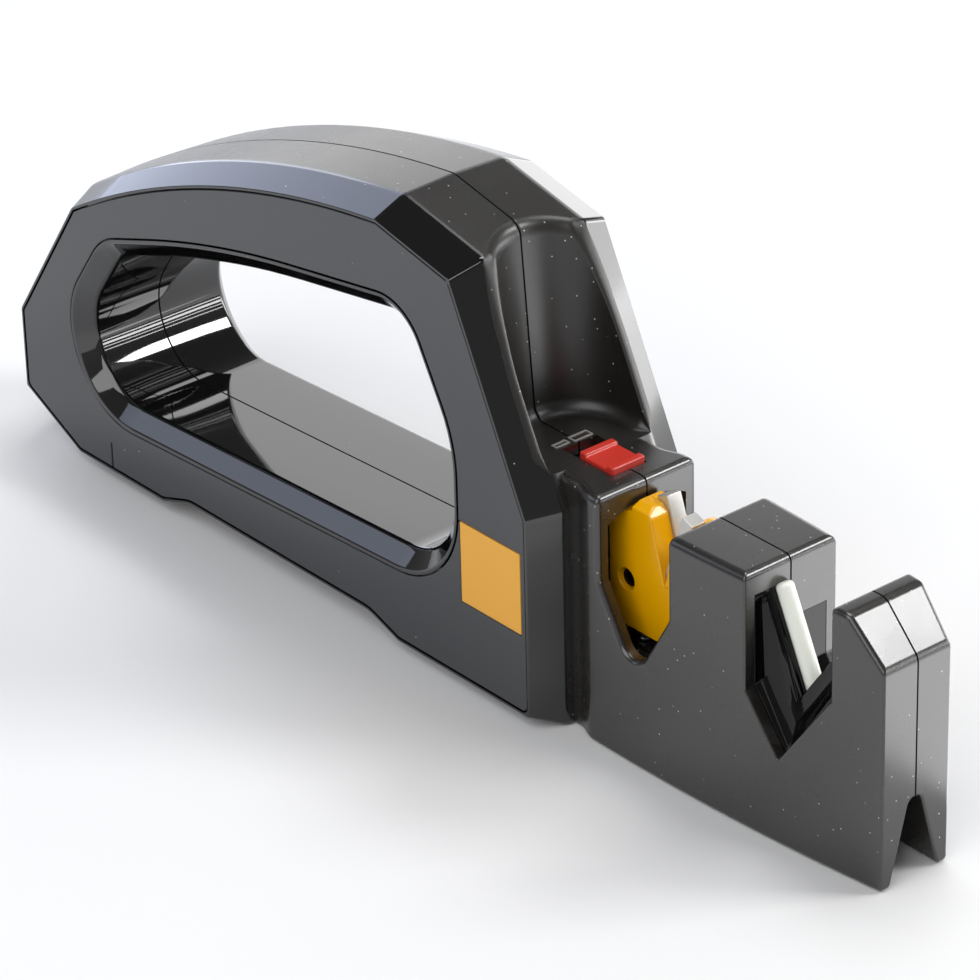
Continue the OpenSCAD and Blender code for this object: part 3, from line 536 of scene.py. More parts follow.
def nose_shape(name, inset, top=FAR):
    """Upright solid whose side is the nose's bowed side moved in by inset, right of the seam."""
    side = [(s, -(nose_width(s) - inset)) for s in NOSE_STATIONS]
    ends = (NOSE_STATIONS[0], 1.0), (NOSE_STATIONS[-1], 1.0)
    return upright(name, [ends[0]] + side + [ends[1]], -5, top)


def handle_solid():
    """Handle half with sharp edges: crest up to the seam, sloping band, and flat face."""
    sharp_below = 5
    corners = [(s, z, r if r > sharp_below else 0) for s, z, r in PANEL]
    crown = rounded(moved(corners, [CREST_OUT + CROWN_RISE * c for c in CROWN]))
    crest, lip = rounded(moved(corners, CREST_OUT)), rounded(moved(corners, GAP + LIP))
    body = tagged(loft("handle", [(-SEAM / 2, crown), (-CREST_HALF, crest), (-FACE_HALF, lip)]))
    for face in body.data.polygons:
        if abs(face.center.y) > CREST_HALF * MM:
            face.material_index = BAND
    return body


def handle_edge(s, y, z):
    """Soft corners along the crest and over the brow, and fine lips round the panel."""
    if y > -NEAR_SEAM:
        return 0
    return LIP_ROUND if y < -FACE_HALF + 0.1 else CREST_ROUND


def hole_solid():
    """Hand gap: a slight draft up to a round shoulder, then a slope out to the lip."""
    lip = GAP + LIP
    profile = [(2, RIM_W + 0.15), (-SEAM / 2, RIM_W + 0.15), (-8, RIM_W + 0.1), (-13.6, RIM_W),
               (-14.1, RIM_W - 0.12), (-14.5, RIM_W - 0.36), (-14.9, RIM_W - 0.8),
               (-16.8, lip + 0.4), (-FACE_HALF, lip - 0.12), (-FACE_HALF - 3, lip - 0.12)]
    return tagged(loft("hole", [(y, rounded(moved(HOLE, -inset))) for y, inset in profile]), BAND)


def skin_height(base, turn, reach):
    """Height of the handle's skin over a point that lies reach from the scoop's axis."""
    out = reach * math.sin(turn)
    fall = min(out / CREST_HALF - 1, 0) * -CROWN_RISE
    drop = max(out - CREST_HALF, 0) * (CREST_OUT - GAP - LIP) / (FACE_HALF - CREST_HALF)
    heights = []
    for (s0, z0, _), (s1, z1, _), share in zip(PANEL[1:3], PANEL[2:4], CROWN[1:3]):
        u = Vector((s1 - s0, z1 - z0)).normalized()
        lift = CREST_OUT + share * fall - drop
        along = base + reach * math.cos(turn) - DECK_Z * SCOOP_LEAN - s0
        heights.append((lift + u.y * along + u.x * z0) / (u.x - u.y * SCOOP_LEAN))
    return max(min(heights), DECK_Z)


def scoop_column(base, turn):
    """Profile of the scoop in one plane, as (reach, height).

    It runs over the deck, up a fillet and the wall, round the rim and out to free air.
    """
    top = skin_height(base, turn, SCOOP_R)
    wall = top - DECK_Z
    fillet = min(SCOOP_FILLET, 0.4 * wall)
    down, out = min(SCOOP_RIM_DOWN, 0.5 * wall), min(SCOOP_RIM_OUT, 0.5 * wall)
    points = []
    for k in range(7):
        angle = math.radians(15 * k)
        points.append((SCOOP_R - fillet + fillet * math.sin(angle),
                       DECK_Z + fillet - fillet * math.cos(angle)))
    low = points[-1][1]
    points += [(SCOOP_R, low + (top - down - low) * k / 3) for k in (1, 2)]
    rim = skin_height(base, turn, SCOOP_R + out) + 0.04
    for k in range(11):
        t = k / 10
        points.append((SCOOP_R + out * t * t,
                       (1 - t) ** 2 * (top - down) + 2 * t * (1 - t) * top + t * t * rim))
    points.append((SCOOP_R + out + 1, skin_height(base, turn, SCOOP_R + out + 1) + 0.5))
    points.append((SCOOP_R + out + 1, DECK_Z + 50))
    return points


def scoop_solid():
    """Thumb scoop: round at the back, open to the front, with a soft rim and a fillet."""
    axis = SCOOP_BACK - SCOOP_R
    quarter = math.pi / 2
    stations = [(axis, quarter * k / 30) for k in range(31)]
    stations += [(axis - 0.5 * k, quarter) for k in range(1, 21)] + [(axis - 40, quarter)]
    bm = bmesh.new()
    columns = []
    for side in (-1, 1):
        for base, turn in reversed(stations[1:]) if side > 0 else stations:
            column = [(base + r * math.cos(turn) + (z - DECK_Z) * SCOOP_LEAN,
                       side * r * math.sin(turn), z) for r, z in scoop_column(base, turn)]
            columns.append([bm.verts.new(place(*point)) for point in column])
    for i, here in enumerate(columns):
        there = columns[(i + 1) % len(columns)]
        if i + 1 == len(stations):
            bm.faces.new(here + there[::-1])
            continue
        for k in range(len(here) - 1):
            bm.faces.new((here[k], there[k], there[k + 1], here[k + 1]))
    bm.faces.new([column[0] for column in columns])
    bm.faces.new([column[-1] for column in columns])
    bmesh.ops.remove_doubles(bm, verts=bm.verts, dist=0.0005 * MM)
    return tagged(new_object("scoop", bm), SCOOP)


def slot1_outline():
    drop = (SLOT1[1] - SLOT1[0]) / 2 / math.tan(SLOT1_V)
    knee_r, foot_r = 1.2, 3.4
    return rounded([(SLOT1[0], SLOT1_KNEE_Z, knee_r), (SLOT1[0], SKY, 0), (SLOT1[1], SKY, 0),
                    (SLOT1[1], SLOT1_KNEE_Z, knee_r), (SLOT1_MID, SLOT1_KNEE_Z - drop, foot_r)], 12)


SLOT2_CORNERS = [(SLOT2[0], SLOT2_FRONT_Z, 0), (SLOT2[0], SKY, 0), (SLOT2[1], SKY, 0),
                 (SLOT2[1], SLOT2_REAR_Z, 0), (*SLOT2_FOOT, 0)]


def guide_groove():
    """Groove under the nose tip, an upside-down V with a round top."""
    half, high, r, below = 5.2, 16.3, 1.6, 3
    angle = math.atan(half / high)
    tip = high + r / math.sin(angle) - r
    foot = half + below * math.tan(angle)
    section = rounded([(-foot, -below, 0), (0, tip, r), (foot, -below, 0)], 10)
    return lengthwise("groove", section, -3, GROOVE_L)


def nose_edge(s, y, z):
    """How far each edge of the nose is rounded."""
    side = -y > nose_width(s) - 0.25
    at_seam, in_handle, underside = y > -NEAR_SEAM, s > 76, z < 0.2
    at_groove = s < GROOVE_L + 0.2 and z < 17 and not side
    if at_seam or in_handle:
        return 0
    if underside:
        return 0.9
    if at_groove:
        return 0.5
    if z > 40:
        if s <= GROOVE_L:
            return 1.0
        return 1.6 if side else 1.3
    if s > SLOT1[0] - 0.3:
        return 1.0 if side else 0.3
    return 0.45 if side else 0.3


def nose_solid():
    """Nose half with its slots and groove, all edges rounded, before it joins the handle."""
    nose = nose_shape("nose", 0)
    profile = flat([(0, 0), (0, TIP_FRONT_Z), (TIP_SLOPE_S, TIP_TOP_Z), (SLOT2_MID, TIP_TOP_Z),
                    (SLOT2_MID, DECK_Z), (NOSE_END, DECK_Z), (NOSE_END, 0)])
    meet(nose, prism("profile", profile, -FAR, -SEAM / 2))
    cut(nose, prism("slot1", slot1_outline(), -FAR, FAR),
        prism("slot2", flat(SLOT2_CORNERS), -FAR, FAR))
    cut(nose, guide_groove())
    return tagged(round_edges(nose, nose_edge, segments=5))


def bed_line(z, side, t):
    """Station of a rod bed's sloping face at a height; t makes the bed thicker."""
    return SLOT2_MID + side * ((z - ROD_CROSS_Z) * math.tan(ROD_LEAN) + 0.4 - t)


def bed(name, outline, t):
    """Block that fills the slot behind one rod, right of the seam; t makes it larger."""
    foot = (SLOT2_FOOT[0], BED_Z[0] - CRADLE_T)
    solid = prism(name, flat(outline + [foot]), -FAR, -SEAM / 2)
    return meet(solid, nose_shape("inside", CRADLE_INSET - t))


def rear_bed(name, t):
    low, high = BED_Z[0], BED_Z[1] + t
    back = SLOT2[1] + CRADLE_T + t
    return bed(name, [(bed_line(low, 1, t), low), (bed_line(high, 1, t), high), (back, high),
                      (back, 26.2)], t)


def front_bed(name, t):
    low, high = BED_Z[0], BED_Z[1] + t
    front = SLOT2[0] - CRADLE_T - t
    return bed(name, [(front, SLOT2_FRONT_Z), (front, high), (bed_line(high, -1, t), high),
                      (bed_line(low, -1, t), low)], t)


def seam_edge(s, y, z):
    return SEAM_ROUND if y > -SEAM else 0


def casing_half(name, left):
    """Casing half on the right; the left one is made here too and mirrored afterwards."""
    body = round_edges(handle_solid(), handle_edge, segments=4, sharp=12)
    cut(body, scoop_solid())
    join(body, nose_solid())
    ring = prism("recess", rounded(moved(PANEL, GAP)), -FAR, -FACE_HALF + PANEL_T)
    cut(ring, prism("land", rounded(moved(HOLE, -GAP)), -FAR - 5, FAR))
    cut(body, tagged(ring, BAND), hole_solid())
    # Pit of the first slot, the hollow under the deck, and the arched window between them
    window_r, wall = 17.6, 3
    window = rod("window", place(SLOT1[1] - 1, 0, PIVOT_Z), place(SLOT1[1] + wall, 0, PIVOT_Z),
                 window_r, 96)
    meet(window, block("half", 40, 90, -PIT_HALF, PAST_SEAM, 20, FAR))
    cut(body, block("pit", SLOT1[0], SLOT1[1], -PIT_HALF, PAST_SEAM, PIT_Z, FAR), window,
        block("pit_low", SLOT1[0], SLOT1[1] + wall, -PIT_HALF, PAST_SEAM, PIT_Z, PIVOT_Z),
        block("hollow", SLOT1[1] + 2.2, 92, -PIT_HALF, PAST_SEAM, 2.2, ROOF_Z))
    pocket = prism("pocket", flat(moved(SLOT2_CORNERS, CRADLE_T + PLAY)), -FAR, PAST_SEAM)
    meet(pocket, nose_shape("inside", CRADLE_INSET - PLAY, CRADLE_TOP + PLAY))
    cut(body, pocket, front_bed("bed", PLAY) if left else rear_bed("bed", PLAY))
    cut(body, block("deck_slot", 68.5, 81.4, -SLIDER_HALF - 0.2, PAST_SEAM, ROOF_Z - 2, DECK_Z + 2))
    for _, s0, s1 in PADS:
        cut(body, block("pad_recess", s0 - PLAY, s1 + PLAY, -PAD_HALF - PLAY, PAST_SEAM,
                        -2, PAD_TOP))
    if left:
        for s, z in NOSE_SCREWS:
            cut(body, across("counterbore", s, z, 2.85, -FAR, -4))
    round_edges(body, seam_edge, segments=2)
    # Faces in the seam's groove take the near-black painted shade
    for face in body.data.polygons:
        if face.center.y > -2 * SEAM * MM:
            face.material_index = GROOVE_SHADE
    body.name = name
    return body


for side, left in SIDES:
    half = casing_half(side + "_casing_moulding", left)
    if left:
        mirrored(half)
    finish_piece(smooth(half, 32), "casing", "casing_plastic", side + "_casing")


# Side panels and labels

def side_panel(name):
    """Inlay with the hand gap, the label's seat and the short slit above the rear foot."""
    panel = prism(name, rounded(PANEL), -FACE_HALF + PANEL_SUNK, -FACE_HALF + PANEL_T)
    cut(panel, prism("hole", rounded(HOLE), -FAR, FAR))
    cut(panel, block("label_seat", LABEL_S[0] - LABEL_GAP, LABEL_S[1] + LABEL_GAP, -FAR,
                     -FACE_HALF + LABEL_BED, LABEL_Z[0] - LABEL_GAP, LABEL_Z[1] + LABEL_GAP))
    cut(panel, block("slit", 193.8, 194.15, -FAR, -FACE_HALF + 0.4, 0, 8.6))
    return round_edges(panel, lambda s, y, z: 0.22 if abs(y) > FACE_HALF - 0.3 else 0.02)


def label_film(name):
    film = block(name, *LABEL_S, -FACE_HALF + PANEL_SUNK, -FACE_HALF + LABEL_BED, *LABEL_Z)
    return round_edges(film, 0.12)


for side, left in SIDES:
    panel, label = side_panel(side + "_panel_inlay"), label_film(side + "_label_film")
    for piece, mat, slot, node in ((panel, panel_black, "panel_plastic", "_side_panel"),
                                   (label, label_orange, "label_plastic", "_label")):
        if left:
            mirrored(piece)
        finish_piece(smooth(coat(piece, mat)), "casing", slot, side + node)


# Rocker with its carbide bars

BAR_LEAN = math.radians(18.7)
BAR_T = 2.6
BAR_TAIL = 3
BAR_RISE = 10.4
BAR_Y = (0.04, 3.04)
BAR_CROSS_Z = PIVOT_Z + 9.3
ROCKER_S = (48.2, 69.5)
ROCKER_HALF = 4
ROCKER_LOW = PIVOT_Z - 6
ROCKER_TOP = PIVOT_Z + 18.2
ROCKER_FLAT = 2.2
ROCKER_DROP = 0.8
FUNNEL_SLOPE = math.tan(math.radians(15.5))


def carbide(name, side, t):
    """Bar that leans back left of the seam (side 1) or forward right of it (side -1)."""
    lean = side * BAR_LEAN
    tail, end = -BAR_TAIL - t, BAR_RISE / math.cos(lean) + t
    y0, y1 = (BAR_Y[0] - t, BAR_Y[1] + t) if side > 0 else (-BAR_Y[1] - t, -BAR_Y[0] + t)
    corners = []
    for u, w in ((-t, tail), (BAR_T + t, tail), (BAR_T + t, end), (-t, end)):
        corners.append((SLOT1_MID + side * u * math.cos(lean) + w * math.sin(lean),
                        BAR_CROSS_Z - u * math.sin(BAR_LEAN) + w * math.cos(lean)))
    return prism(name, flat(corners), y0, y1)


def rocker(name, y0, y1):
    """One half of the tilting head, between two distances from the seam."""
    section = [(-ROCKER_HALF, ROCKER_LOW), (-ROCKER_HALF, ROCKER_TOP - ROCKER_DROP),
               (-ROCKER_FLAT, ROCKER_TOP), (ROCKER_FLAT, ROCKER_TOP),
               (ROCKER_HALF, ROCKER_TOP - ROCKER_DROP), (ROCKER_HALF, ROCKER_LOW)]
    body = lengthwise(name, section, *ROCKER_S)
    # Funnel that leads the blade in, and the bevel of its upper edges
    reach, foot = 40, PIVOT_Z + 5.6
    wide = reach * FUNNEL_SLOPE
    funnel = flat([(SLOT1_MID, foot), (SLOT1_MID - wide, foot + reach),
                   (SLOT1_MID + wide, foot + reach)])
    low = ROCKER_TOP - 1.3 - 11.3 * FUNNEL_SLOPE
    bevel = flat([(SLOT1_MID, low), (SLOT1_MID - reach, low + reach),
                  (SLOT1_MID + reach, low + reach)])
    cut(body, prism("funnel", funnel, -FAR, FAR), prism("bevel", bevel, -FAR, FAR))
    cut(body, block("tail_step", SLOT1[1] - 0.6, 80, -FAR, FAR, PIVOT_Z + 16.4, FAR))
    # Above this height the wall on the outer side of each bar is cut away
    bare = PIVOT_Z + 15
    cut(body, block("rear_wall", SLOT1_MID, 80, BAR_Y[1], FAR, bare, FAR),
        block("front_wall", 0, SLOT1_MID, -FAR, -BAR_Y[1], bare, FAR))
    cut(body, rod("bore", place(40, 0, PIVOT_Z), place(75, 0, PIVOT_Z), 1.55))
    cut(body, carbide("seat", 1, PLAY), carbide("seat", -1, PLAY))
    for s, z in ROCKER_SCREWS:
        cut(body, across("screw_seat", s, z, 1.95, -FAR, -2))
    return meet(body, block("half", 0, 100, y0, y1, 0, 100))


for side, y0, y1 in (("right", -FAR, -0.02), ("left", 0.02, FAR)):
    half = rocker("rocker_%s_moulding" % side, y0, y1)
    round_edges(half, lambda s, y, z: 0.1 if abs(y) < 0.1 else 0.3)
    finish_piece(smooth(coat(half, rocker_yellow)), "rocker", "rocker_plastic",
                 "rocker_%s_half" % side)

for end, side in (("rear", 1), ("front", -1)):
    bar = round_edges(carbide(end + "_carbide_bar", side, 0), 0.12)
    finish_piece(smooth(coat(bar, carbide_grey)), "rocker", "carbide", end + "_carbide")


# Second slot: cradle and rods

def ceramic_rod(name, side, t=0.0):
    """Honing rod that leans back right of the seam (side 1) or forward left of it (side -1)."""
    tail, top_z = -4.6, 43.4
    ends = []
    for w in (tail - t, (top_z - ROD_CROSS_Z) / math.cos(ROD_LEAN) + t):
        ends.append(place(SLOT2_MID + side * w * math.sin(ROD_LEAN), -side * ROD_Y,
                          ROD_CROSS_Z + w * math.cos(ROD_LEAN)))
    return rod(name, *ends, ROD_R + t)


def mouth():
    """Flare of the left side, beside the front rod."""
    middle = place(SLOT2_MID - 9.5 * math.tan(ROD_LEAN), 4.6, 33.9)
    turn = Matrix.Rotation(ROD_LEAN, 4, "Y") @ Matrix.Rotation(math.radians(45), 4, "Z")
    size = Matrix.Diagonal((6 * MM, 6 * MM, 30 * MM, 1))
    bm = bmesh.new()
    bmesh.ops.create_cube(bm, size=1, matrix=Matrix.Translation(middle) @ turn @ size)
    return new_object("mouth", bm)


# The slot's outline at the nose's side, and the small V to which it draws in beside the rods
BELL_KNEE_Z = 41
BELL_OUTER = [(SLOT2[0], SLOT2_FRONT_Z), (SLOT2[0], BELL_KNEE_Z), (SLOT2[0], FAR), (SLOT2[1], FAR),
              (SLOT2[1], BELL_KNEE_Z), (SLOT2[1], SLOT2_REAR_Z), SLOT2_FOOT]
BELL_INNER = [(15.9, 34.3), (11.25, BELL_KNEE_Z), (11.25, FAR), (29.35, FAR), (29.35, BELL_KNEE_Z),
              (25.2, 33), (22.5, 25)]


def bell_mouth():
    """Flare of the right side: the slot's outline draws in like a bowl."""
    start, deep, end = -8.9, 3.9, -4.7
    rows = [(-FAR, flat(BELL_OUTER))]
    for k in range(13):
        t = math.sin(math.radians(7.5 * k))
        shrink = 1 - math.sqrt(max(1 - t * t, 0))
        ring = [Vector(a).lerp(Vector(b), shrink) for a, b in zip(BELL_OUTER, BELL_INNER)]
        rows.append((start + deep * t, ring))
    rows.append((end, flat(BELL_INNER)))
    return loft("bell", rows)


def cradle():
    """Insert that lines the slot, fills it behind both rods and holds them in round seats."""
    body = prism("rod_cradle_moulding", flat(moved(SLOT2_CORNERS, CRADLE_T)), -FAR, FAR)
    cut(body, prism("inside", flat(SLOT2_CORNERS), -FAR - 5, FAR + 5))
    shape = nose_shape("shape", CRADLE_INSET, CRADLE_TOP)
    join(shape, mirrored(nose_shape("other", CRADLE_INSET, CRADLE_TOP)))
    meet(body, shape)
    other = mirrored(front_bed("front_bed", 0))
    join(body, rear_bed("rear_bed", 0), other)
    lip = flat([(11.1, 31.2), (11.1, BELL_KNEE_Z), BELL_INNER[0], BELL_INNER[-1], (22.1, 15.9)])
    join(body, meet(prism("lip", lip, -FAR, -4.8), nose_shape("inside", CRADLE_INSET)))
    cut(body, ceramic_rod("seat", 1, PLAY), ceramic_rod("seat", -1, PLAY), mouth(), bell_mouth())
    return round_edges(body, 0.15, sharp=35)


# The cradle wears the darkened black: painted shade of the deep slot
finish_piece(smooth(coat(cradle(), cradle_shade_black)), "casing", "cradle_plastic", "rod_cradle")

for end, side in (("rear", 1), ("front", -1)):
    piece = round_edges(ceramic_rod(end + "_honing_rod", side), 0.8, sharp=40)
    finish_piece(smooth(coat(piece, ceramic_white)), "casing", "ceramic", end + "_ceramic_rod")


# Lock slider with its raised marks and the ribbed brake shoe

def slider():
    """Thumb piece with two ridges, the flange under the deck, and the leg for the shoe."""
    under_z, ridge_l = 45.1, 1.6
    front, rear = SLIDER_S
    body = block("lock_slider_moulding", front, rear, -SLIDER_HALF, SLIDER_HALF, 43.8, 48.1)
    for s in (front, rear - ridge_l):
        join(body, block("ridge", s, s + ridge_l, -SLIDER_HALF, SLIDER_HALF, 47.6, 48.7))
    cut(body, block("under", 60, 70.3, -10, 10, 40, under_z))
    join(body, block("flange", 70.3, 81.3, -6.2, 6.2, 43.3, under_z),
         block("leg", *LEG_S, -4, 4, LEG_LOW, 43.8))
    cut(body, block("leaf_seat", 79.7, 86.7, -2.05, 2.05, 44.7, 47))
    return round_edges(body, lambda s, y, z: 0.3 if z > 46 else 0.15)


def brake_shoe():
    """Rubber block whose face towards the rocker is ribbed."""
    front, deep, tall, ribs = 69.65, 0.35, 7, 14
    face = [(front + (deep if k % 2 else 0), LEG_LOW + tall * k / ribs + d)
            for k in range(ribs) for d in (0, tall / ribs)]
    back = [(LEG_S[0], LEG_LOW + tall), (LEG_S[0], LEG_LOW)]
    shoe = prism("brake_shoe_moulding", flat(face + back), -SLIDER_HALF, SLIDER_HALF)
    return round_edges(shoe, lambda s, y, z: 0.08 if s < 71 else 0.3)


def frame_mark(name, s0, s1, y0, y1):
    """Raised outline on the deck."""
    line = 0.4
    mark = block(name, s0, s1, y0, y1, DECK_Z - 0.1, DECK_Z + 0.25)
    cut(mark, block("inside", s0 + line, s1 - line, y0 + line, y1 - line, DECK_Z - 1, DECK_Z + 1))
    # The pale colour paints the highlights on the mark's raised lines
    smooth(coat(round_edges(mark, 0.1), marks_highlight_grey))
    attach(mark, "casing")


finish_piece(smooth(coat(slider(), slider_red)), "slider", "slider_plastic", "lock_slider")
frame_mark("deck_mark_small", 82.0, 83.4, -4.6, -1.4)
frame_mark("deck_mark_large", 81.7, 83.7, -0.7, 3.5)
finish_piece(smooth(coat(brake_shoe(), rubber_black)), "slider", "pad_rubber", "lock_shoe")


# Screws, springs and ribbed pads, made by Geometry Nodes

def new_tree(name, *sizes):
    """Geometry Nodes group with named size inputs; returns it with its input and output nodes."""
    tree = bpy.data.node_groups.new(name, "GeometryNodeTree")
    inputs = [("Geometry", "Geometry")] + [(size, "Float") for size in sizes]
    inputs += [("Turn", "Vector"), ("Material", "Material")]
    for socket, kind in inputs:
        tree.interface.new_socket(socket, in_out="INPUT", socket_type="NodeSocket" + kind)
    tree.interface.new_socket("Geometry", in_out="OUTPUT", socket_type="NodeSocketGeometry")
    return tree, add(tree, "NodeGroupInput").outputs, add(tree, "NodeGroupOutput")


def on_points(tree, given, out, shape):
    """Ends a tree: the shape on each point, turned, realized, with its material."""
    turn = add(tree, "FunctionNodeEulerToRotation", {"Euler": given["Turn"]})
    many = add(tree, "GeometryNodeInstanceOnPoints",
               {"Points": given["Geometry"], "Instance": shape,
                "Rotation": turn.outputs["Rotation"]})
    real = add(tree, "GeometryNodeRealizeInstances", {"Geometry": many.outputs["Instances"]})
    made = add(tree, "GeometryNodeSetMaterial",
               {"Geometry": real.outputs["Geometry"], "Material": given["Material"]})
    tree.links.new(made.outputs["Geometry"], out.inputs["Geometry"])


def times(tree, source, factor):
    return add(tree, "ShaderNodeMath", {0: source}, operation="MULTIPLY", i1=factor).outputs[0]


def lifted(tree, shape, height):
    """The shape moved up by a height."""
    by = add(tree, "ShaderNodeCombineXYZ", {2: height})
    return add(tree, "GeometryNodeTransform",
               {"Geometry": shape, "Translation": by.outputs["Vector"]}).outputs["Geometry"]


def tube(tree, curve, profile):
    """Closed tube along a curve."""
    mesh = add(tree, "GeometryNodeCurveToMesh",
               {"Curve": curve.outputs["Curve"], "Profile Curve": profile.outputs["Curve"]})
    mesh.inputs["Fill Caps"].default_value = True
    return mesh.outputs["Mesh"]


def screw_tree():
    """Screw with a tapered head, a cross recess and a rolled thread; its head points to +Z."""
    core_share, thread_share, top_share = 0.43, 0.065, 0.43
    tree, given, out = new_tree("cross_recess_screws", "Head Diameter", "Head Height",
                                "Shank Diameter", "Shank Length", "Recess Width", "Thread Turns")
    wide, length = given["Shank Diameter"], given["Shank Length"]
    head = add(tree, "GeometryNodeMeshCone",
               {"Radius Bottom": times(tree, given["Head Diameter"], 0.5),
                "Radius Top": times(tree, given["Head Diameter"], top_share),
                "Depth": given["Head Height"]}, Vertices=40)
    recess = add(tree, "GeometryNodeMeshBoolean", {"Mesh 1": head.outputs["Mesh"]},
                 operation="DIFFERENCE", solver="EXACT")
    for along in (0, 1):
        size = add(tree, "ShaderNodeCombineXYZ", {along: wide, 1 - along: given["Recess Width"],
                                                  2: given["Head Height"]})
        arm = add(tree, "GeometryNodeMeshCube", {"Size": size.outputs["Vector"]})
        raised = lifted(tree, arm.outputs["Mesh"], given["Head Height"])
        tree.links.new(raised, recess.inputs["Mesh 2"])
    radius = times(tree, wide, core_share)
    core = add(tree, "GeometryNodeMeshCylinder", {"Radius": radius, "Depth": length}, Vertices=24)
    helix = add(tree, "GeometryNodeCurveSpiral",
                {"Rotations": given["Thread Turns"], "Start Radius": radius, "End Radius": radius,
                 "Height": length}, Resolution=16)
    ridge = add(tree, "GeometryNodeCurvePrimitiveCircle",
                {"Radius": times(tree, wide, thread_share)}, Resolution=4)
    whole = add(tree, "GeometryNodeJoinGeometry")
    for part in (recess.outputs["Mesh"],
                 lifted(tree, core.outputs["Mesh"], times(tree, length, -0.5)),
                 lifted(tree, tube(tree, helix, ridge), times(tree, length, -1))):
        tree.links.new(part, whole.inputs["Geometry"])
    on_points(tree, given, out, whole.outputs["Geometry"])
    return tree


def spring_tree():
    """Coil spring of round wire, rising from each point."""
    tree, given, out = new_tree("coil_springs", "Coil Radius", "Wire Radius", "Turns", "Height")
    coil = add(tree, "GeometryNodeCurveSpiral",
               {"Rotations": given["Turns"], "Start Radius": given["Coil Radius"],
                "End Radius": given["Coil Radius"], "Height": given["Height"]}, Resolution=28)
    wire = add(tree, "GeometryNodeCurvePrimitiveCircle", {"Radius": given["Wire Radius"]},
               Resolution=10)
    on_points(tree, given, out, tube(tree, coil, wire))
    return tree


def rib_tree():
    """Round rib on each point, upright before the turn."""
    tree, given, out = new_tree("pad_ribs", "Rib Radius", "Rib Length")
    bar = add(tree, "GeometryNodeMeshCylinder",
              {"Radius": given["Rib Radius"], "Depth": given["Rib Length"]}, Vertices=20)
    on_points(tree, given, out, bar.outputs["Mesh"])
    return tree


def grown(name, tree, points, material, turn=(0, 0, 0), **sizes):
    """Mesh that a tree grows on points, given as places, with sizes in millimetres or counts."""
    bm = bmesh.new()
    for point in points:
        bm.verts.new(point)
    obj = new_object(name, bm)
    grow = obj.modifiers.new("grow", "NODES")
    grow.node_group = tree
    wanted = {"Turn": turn, "Material": material}
    for key, value in sizes.items():
        counted = key in ("Turns", "Thread_Turns")
        wanted[key.replace("_", " ")] = float(value) if counted else value * MM
    for item in tree.interface.items_tree:
        if item.in_out == "INPUT" and item.name in wanted:
            grow[item.identifier] = wanted[item.name]
    return smooth(applied(obj))


HANDLE_SCREWS = ((86.0, 11.4), (120.0, 75.6), (165.0, 65.6), (211.6, 26.5), (150.0, 10.6))
CASING_SCREW = {"Head_Diameter": 5.4, "Head_Height": 2.2, "Shank_Diameter": 3, "Recess_Width": 0.8}
ROCKER_SCREW = {"Head_Diameter": 3.6, "Head_Height": 1.2, "Shank_Diameter": 1.8,
                "Recess_Width": 0.6}
HEAD_LEFT, HEAD_RIGHT = (-math.pi / 2, 0, 0), (math.pi / 2, 0, 0)

screws = screw_tree()
handle_set = grown("handle_screw_set", screws, [place(s, 8, z) for s, z in HANDLE_SCREWS],
                   steel_grey, HEAD_LEFT, Shank_Length=17, Thread_Turns=14, **CASING_SCREW)
finish_piece(handle_set, "casing", "steel", "handle_screws")
nose_set = grown("nose_screw_set", screws, [place(s, 4, z) for s, z in NOSE_SCREWS],
                 steel_grey, HEAD_LEFT, Shank_Length=9, Thread_Turns=8, **CASING_SCREW)
finish_piece(nose_set, "casing", "steel", "nose_screws")
# The rocker's screws take the dark steel: painted shade of the holes they sit in
rocker_set = grown("rocker_screw_set", screws, [place(s, -2, z) for s, z in ROCKER_SCREWS],
                   shade_dark_steel, HEAD_RIGHT, Shank_Length=4.9, Thread_Turns=7, **ROCKER_SCREW)
finish_piece(rocker_set, "rocker", "steel", "rocker_screws")

# The centring springs stand on the casing and carry the rocker's tail
SPRING_S, SPRING_Y, SPRING_Z, SPRING_H = 68.1, 2.4, 12.3, 7.8
springs = grown("centring_spring_pair", spring_tree(),
                [place(SPRING_S, y, SPRING_Z) for y in (-SPRING_Y, SPRING_Y)], steel_grey,
                Coil_Radius=1.1, Wire_Radius=0.3, Turns=7, Height=SPRING_H)
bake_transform(springs)
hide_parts("right_centring_spring", "left_centring_spring")

RIB_PITCH = 1.9
ribs = rib_tree()
for end, s0, s1 in PADS:
    pad = round_edges(block(end + "_pad_moulding", s0, s1, -PAD_HALF, PAD_HALF, 0.45, PAD_TOP), 0.3)
    count = int((s1 - s0 - 2) / RIB_PITCH)
    at = [place((s0 + s1) / 2 + RIB_PITCH * (k - (count - 1) / 2), 0, 0.6) for k in range(count)]
    join(pad, grown("ribs", ribs, at, rubber_black, (math.pi / 2, 0, 0), Rib_Radius=0.6,
                    Rib_Length=15.4))
    finish_piece(smooth(coat(pad, rubber_black)), "casing", "pad_rubber", end + "_foot_pad")


# Pieces that keep their CAD shape

# The detent spring takes the dark steel: painted shade of the slot it sits in
for node, mat in (("rocker_pin", steel_grey), ("detent_spring", shade_dark_steel)):
    coat(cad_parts[node], mat)


# Studio: pale floor, dim room, soft lamps, the photograph's camera

scene = bpy.context.scene
scene.view_settings.view_transform = "Standard"


def studio_floor():
    bm = bmesh.new()
    bmesh.ops.create_grid(bm, x_segments=1, y_segments=1, size=3)
    floor = new_object("studio_floor", bm)
    mat = bpy.data.materials.new("white_paper_floor")
    mat.use_nodes = True
    shader = mat.node_tree.nodes["Principled BSDF"]
    shader.inputs["Base Color"].default_value = colour("#efefef")
    shader.inputs["Roughness"].default_value = 0.9
    floor.data.materials.append(mat)
    floor.location.z = -0.0002


